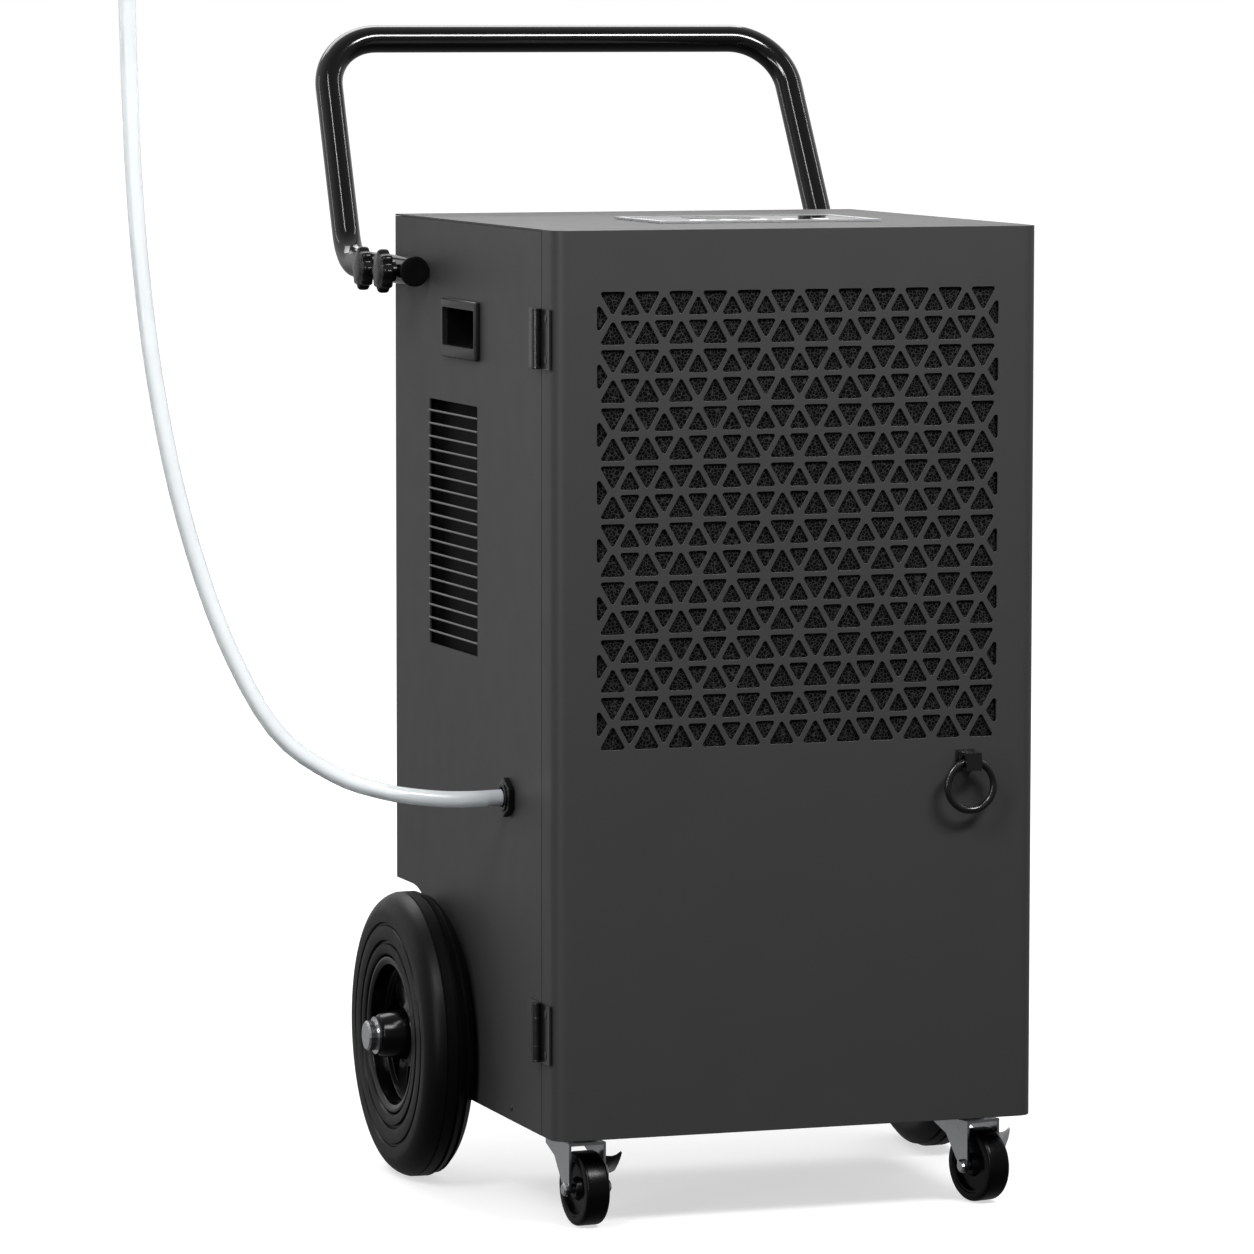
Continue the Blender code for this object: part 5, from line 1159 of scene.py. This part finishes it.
class DEHUMIDIFIER_OT_castors(Operator):
    """Braked swivel castors: forks, plates, levers, bolts and treads"""

    bl_idname = "dehumidifier.castors"
    bl_label = "Castors"

    def execute(self, context):
        joints = {joint["name"]: joint for joint in frame["joints"]}
        for side in SIDES:
            paint_nodes("bright_zinc_steel", f"castor_fork_{side}", f"castor_plate_{side}", edge=0.0006)
            paint_nodes("bright_zinc_steel", f"castor_bolt_{side}", edge=0.0004)
            roll = joints[f"castor_{side}_roll"]
            axis = Vector(roll["axis"]).normalized()
            low, high, middle = box_of(f"castor_wheel_{side}")
            self.add_wheel(side, middle, axis, (high.z - low.z) / 2)
            self.add_brake(side, Vector(roll["pos_m"]), axis)
        return {"FINISHED"}

    @staticmethod
    def add_brake(side, axle, axis):
        """Lever beside one cheek of the fork, with a winged pedal that faces forwards and up."""
        up = Vector((0.0, 0.0, 1.0))
        turn = Matrix((axis, up.cross(axis), up)).transposed().to_4x4()
        turn.translation = axle
        sheet, eye, inner = 0.0022, 0.0072, 0.01725
        lever = [(eye * math.cos(a), eye * math.sin(a))
                 for a in (math.pi + math.pi * i / 16 for i in range(17))]
        lever += [(eye * 0.9, 0.0150), (eye * 0.5, 0.0200), (-eye * 0.6, 0.0200), (-eye * 0.95, 0.0150)]
        place = Matrix.Translation((inner + sheet / 2, 0.0, 0.0)) @ FACING_SIDE
        eye_hole = circle((0, 0), 0.0042, 20)
        shape = curve_to_mesh(outline_plate([lever, eye_hole], sheet, 0.0005), turn @ place)
        wing = [(-0.0015, 0.0), (0.0030, -0.0012), (0.0075, 0.0005), (0.0120, 0.0062), (0.0156, 0.0120),
                (0.0172, 0.0158), (0.0160, 0.0168), (0.0115, 0.0142), (0.0070, 0.0132), (0.0020, 0.0138),
                (-0.0015, 0.0146)]
        lean = Matrix.Rotation(math.radians(62.0), 4, "X")
        foot = Matrix.Translation((inner + sheet, -0.0020, 0.0128))
        pedal = curve_to_mesh(outline_plate([wing], 0.0020, 0.0006), turn @ foot @ lean)
        made = add_piece(f"castor_brake_lever_{side}", joined(shape, pedal), "bright_zinc_steel",
                         f"brake_{side}")
        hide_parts(f"castor_brake_{side}")

    @staticmethod
    def add_wheel(side, middle, axis, radius):
        half, hub, bore, web, edge = 0.01065, 0.0083, 0.0045, 0.0062, 0.0030
        section = [(radius - edge * (1 - math.cos(a)), (half - edge) + edge * math.sin(a))
                   for a in (math.pi / 2 * i / 5 for i in range(6))]
        section += [(radius - 0.0070, half), (radius - 0.0078, half - 0.0008),
                    (radius - 0.0092, half - 0.0008), (radius - 0.0100, web), (hub + 0.0020, web),
                    (hub, half - 0.0006), (hub - 0.0006, half), (bore, half)]
        mirrored = [(r, -h) for r, h in reversed(section)]
        shape = revolved(section + mirrored, 64, middle, axis)
        wheel = add_piece(f"castor_wheel_moulded_{side}", shape, "polyurethane_castor_tread",
                          f"castor_wheel_{side}", 38.0)
        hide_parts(f"castor_wheel_{side}")


# ---- handle -------------------------------------------------------------------------------------
ELBOW_REACH = 0.0947        # behind the cabinet
LEG_SPLAY = 0.0088          # each leg leans in by this much


class DEHUMIDIFIER_OT_handle(Operator):
    """Bent tube handle with its end caps"""

    bl_idname = "dehumidifier.handle"
    bl_label = "Push handle"

    def execute(self, context):
        s = sizes()
        low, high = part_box("handle_tube")[:2]
        radius = s.tube_radius
        arm_z = box_of("front_knob_left")[2].z
        arm_x = high.x - radius
        top = Vector((0.0, high.y - radius, high.z - radius))
        elbow_y = PANEL_HIGH.y + ELBOW_REACH
        half = arm_x - LEG_SPLAY
        left = [(-arm_x, low.y, arm_z), (-arm_x, elbow_y, arm_z), (-half, top.y, top.z)]
        right = [(-x, y, z) for x, y, z in reversed(left)]
        radii = [s.elbow_radius, s.shoulder_radius, s.shoulder_radius, s.elbow_radius]
        curve = tube_curve("push_handle", bent_path(left + right, radii, 16), radius, 10)
        handle = add_object("push_handle", curve, "gloss_enamel_tube", "handle")
        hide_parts("handle_tube")
        for side, sign in SIDES.items():
            self.add_cap(side, Vector((sign * arm_x, low.y, arm_z)))
            self.add_pin(side, sign, Vector((sign * (arm_x + radius), elbow_y - 0.060, arm_z)))
        return {"FINISHED"}

    @staticmethod
    def add_cap(side, end):
        low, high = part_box(f"handle_cap_{side}")[:2]
        depth = end.y - low.y
        wide = (high.x - low.x) / 2
        section = [(0.0, depth * 0.86), (wide * 0.55, depth * 0.88), (wide * 0.84, depth),
                   (wide * 0.95, depth * 0.92), (wide, depth * 0.70), (wide, 0.0004), (0.0, 0.0004)]
        shape = revolved(section, 48, end, Vector((0.0, -1.0, 0.0)), False)
        cap = add_piece(f"handle_end_cap_{side}", shape, "moulded_abs_black", "handle")
        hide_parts(f"handle_cap_{side}")

    @staticmethod
    def add_pin(side, sign, centre):
        """Small pin through the tube ahead of the elbow."""
        shape = revolved([(0.0, 0.0004), (0.0022, 0.0002), (0.0026, -0.0006), (0.0, -0.0010)], 20,
                         centre - Vector((sign * 0.0005, 0.0, 0.0)), Vector((sign, 0.0, 0.0)), False)
        add_piece(f"handle_pin_{side}", shape, "black_zinc_steel", "handle")


class DEHUMIDIFIER_OT_knobs(Operator):
    """Star knobs that clamp the handle"""

    bl_idname = "dehumidifier.knobs"
    bl_label = "Knobs"

    def execute(self, context):
        for place in ("front", "rear"):
            for side, sign in SIDES.items():
                self.add_knob(f"{place}_knob_{side}", sign)
        return {"FINISHED"}

    @staticmethod
    def add_knob(node, sign):
        low, high, middle = box_of(node)
        outer, inner = (high.x, low.x) if sign > 0 else (low.x, high.x)
        radius, wave = (high.z - low.z) / 2, 0.0016
        body, boss_radius, stud_radius = 0.0110, 0.0093, 0.0034
        tube_face = outer - sign * (body + 0.0055)
        lobes = sizes().knob_lobes
        steps = lobes * 12
        levels = [(0.30, 0.0), (0.55, -0.0004), (0.62, -0.0009), (0.80, -0.0012), (0.93, -0.0018),
                  (0.985, -0.0032), (1.0, -0.0052), (1.0, -0.0080), (0.985, -0.0100), (0.94, -body)]
        shape = bmesh.new()
        rings = []
        for share, depth in levels:
            ring = []
            for i in range(steps):
                angle = math.tau * i / steps
                lobe = wave * (math.cos(lobes * angle) - 1) * max(0.0, share - 0.5) * 2
                r = share * (radius + lobe)
                ring.append(shape.verts.new((outer + sign * depth, middle.y + r * math.cos(angle),
                                             middle.z + r * math.sin(angle))))
            rings.append(ring)
        shape.faces.new(rings[0])
        for ring, after in zip(rings, rings[1:]):
            for i in range(steps):
                j = (i + 1) % steps
                shape.faces.new((ring[i], ring[j], after[j], after[i]))
        shape.faces.new(rings[-1])
        bmesh.ops.recalc_face_normals(shape, faces=shape.faces)
        axis = Vector((sign, 0.0, 0.0))
        reach = abs(outer - sign * body - tube_face)
        boss = revolved([(boss_radius, -0.0005), (boss_radius, reach + 0.001), (0.0, reach + 0.001),
                         (0.0, -0.0005)], 32, Vector((tube_face, middle.y, middle.z)), axis, False)
        bmesh.ops.translate(boss, verts=boss.verts, vec=axis * 0.0006)
        stud = revolved([(0.0, 0.0), (stud_radius, 0.0), (stud_radius, abs(tube_face - inner) + 0.002),
                         (0.0, abs(tube_face - inner) + 0.002)], 20, Vector((inner, middle.y, middle.z)),
                        axis, False)
        knob = add_piece(f"{node}_moulded", joined(shape, boss, stud), "moulded_abs_black", node,
                         40.0)
        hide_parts(node)


class DEHUMIDIFIER_PT_pieces(Panel):
    """Sizes, colours and pieces of the dehumidifier"""

    bl_label = "Dehumidifier"
    bl_idname = "DEHUMIDIFIER_PT_pieces"
    bl_space_type = "VIEW_3D"
    bl_region_type = "UI"
    bl_category = "Dehumidifier"

    def draw(self, context):
        layout = self.layout
        for group in (context.scene.dehumidifier_sizes, context.scene.dehumidifier_colours):
            column = layout.column(align=True)
            for name in group.__annotations__:
                column.prop(group, name)
        for piece in PIECES:
            layout.operator(piece.bl_idname)


PIECES = (
    DEHUMIDIFIER_OT_stage, DEHUMIDIFIER_OT_hose, DEHUMIDIFIER_OT_outlet, DEHUMIDIFIER_OT_cabinet,
    DEHUMIDIFIER_OT_cups, DEHUMIDIFIER_OT_controls, DEHUMIDIFIER_OT_inside, DEHUMIDIFIER_OT_door,
    DEHUMIDIFIER_OT_filter, DEHUMIDIFIER_OT_ring_pull, DEHUMIDIFIER_OT_hinges,
    DEHUMIDIFIER_OT_rear_wheels, DEHUMIDIFIER_OT_castors, DEHUMIDIFIER_OT_handle,
    DEHUMIDIFIER_OT_knobs,
)
CLASSES = (DehumidifierColours, DehumidifierSizes, *PIECES, DEHUMIDIFIER_PT_pieces)


def register():
    for cls in CLASSES:
        bpy.utils.register_class(cls)
    bpy.types.Scene.dehumidifier_sizes = PointerProperty(type=DehumidifierSizes)
    bpy.types.Scene.dehumidifier_colours = PointerProperty(type=DehumidifierColours)


def unregister():
    del bpy.types.Scene.dehumidifier_colours
    del bpy.types.Scene.dehumidifier_sizes
    for cls in reversed(CLASSES):
        bpy.utils.unregister_class(cls)


def main():
    register()
    for piece in PIECES:
        group, name = piece.bl_idname.split(".")
        getattr(getattr(bpy.ops, group), name)()


if __name__ == "__main__":
    main()
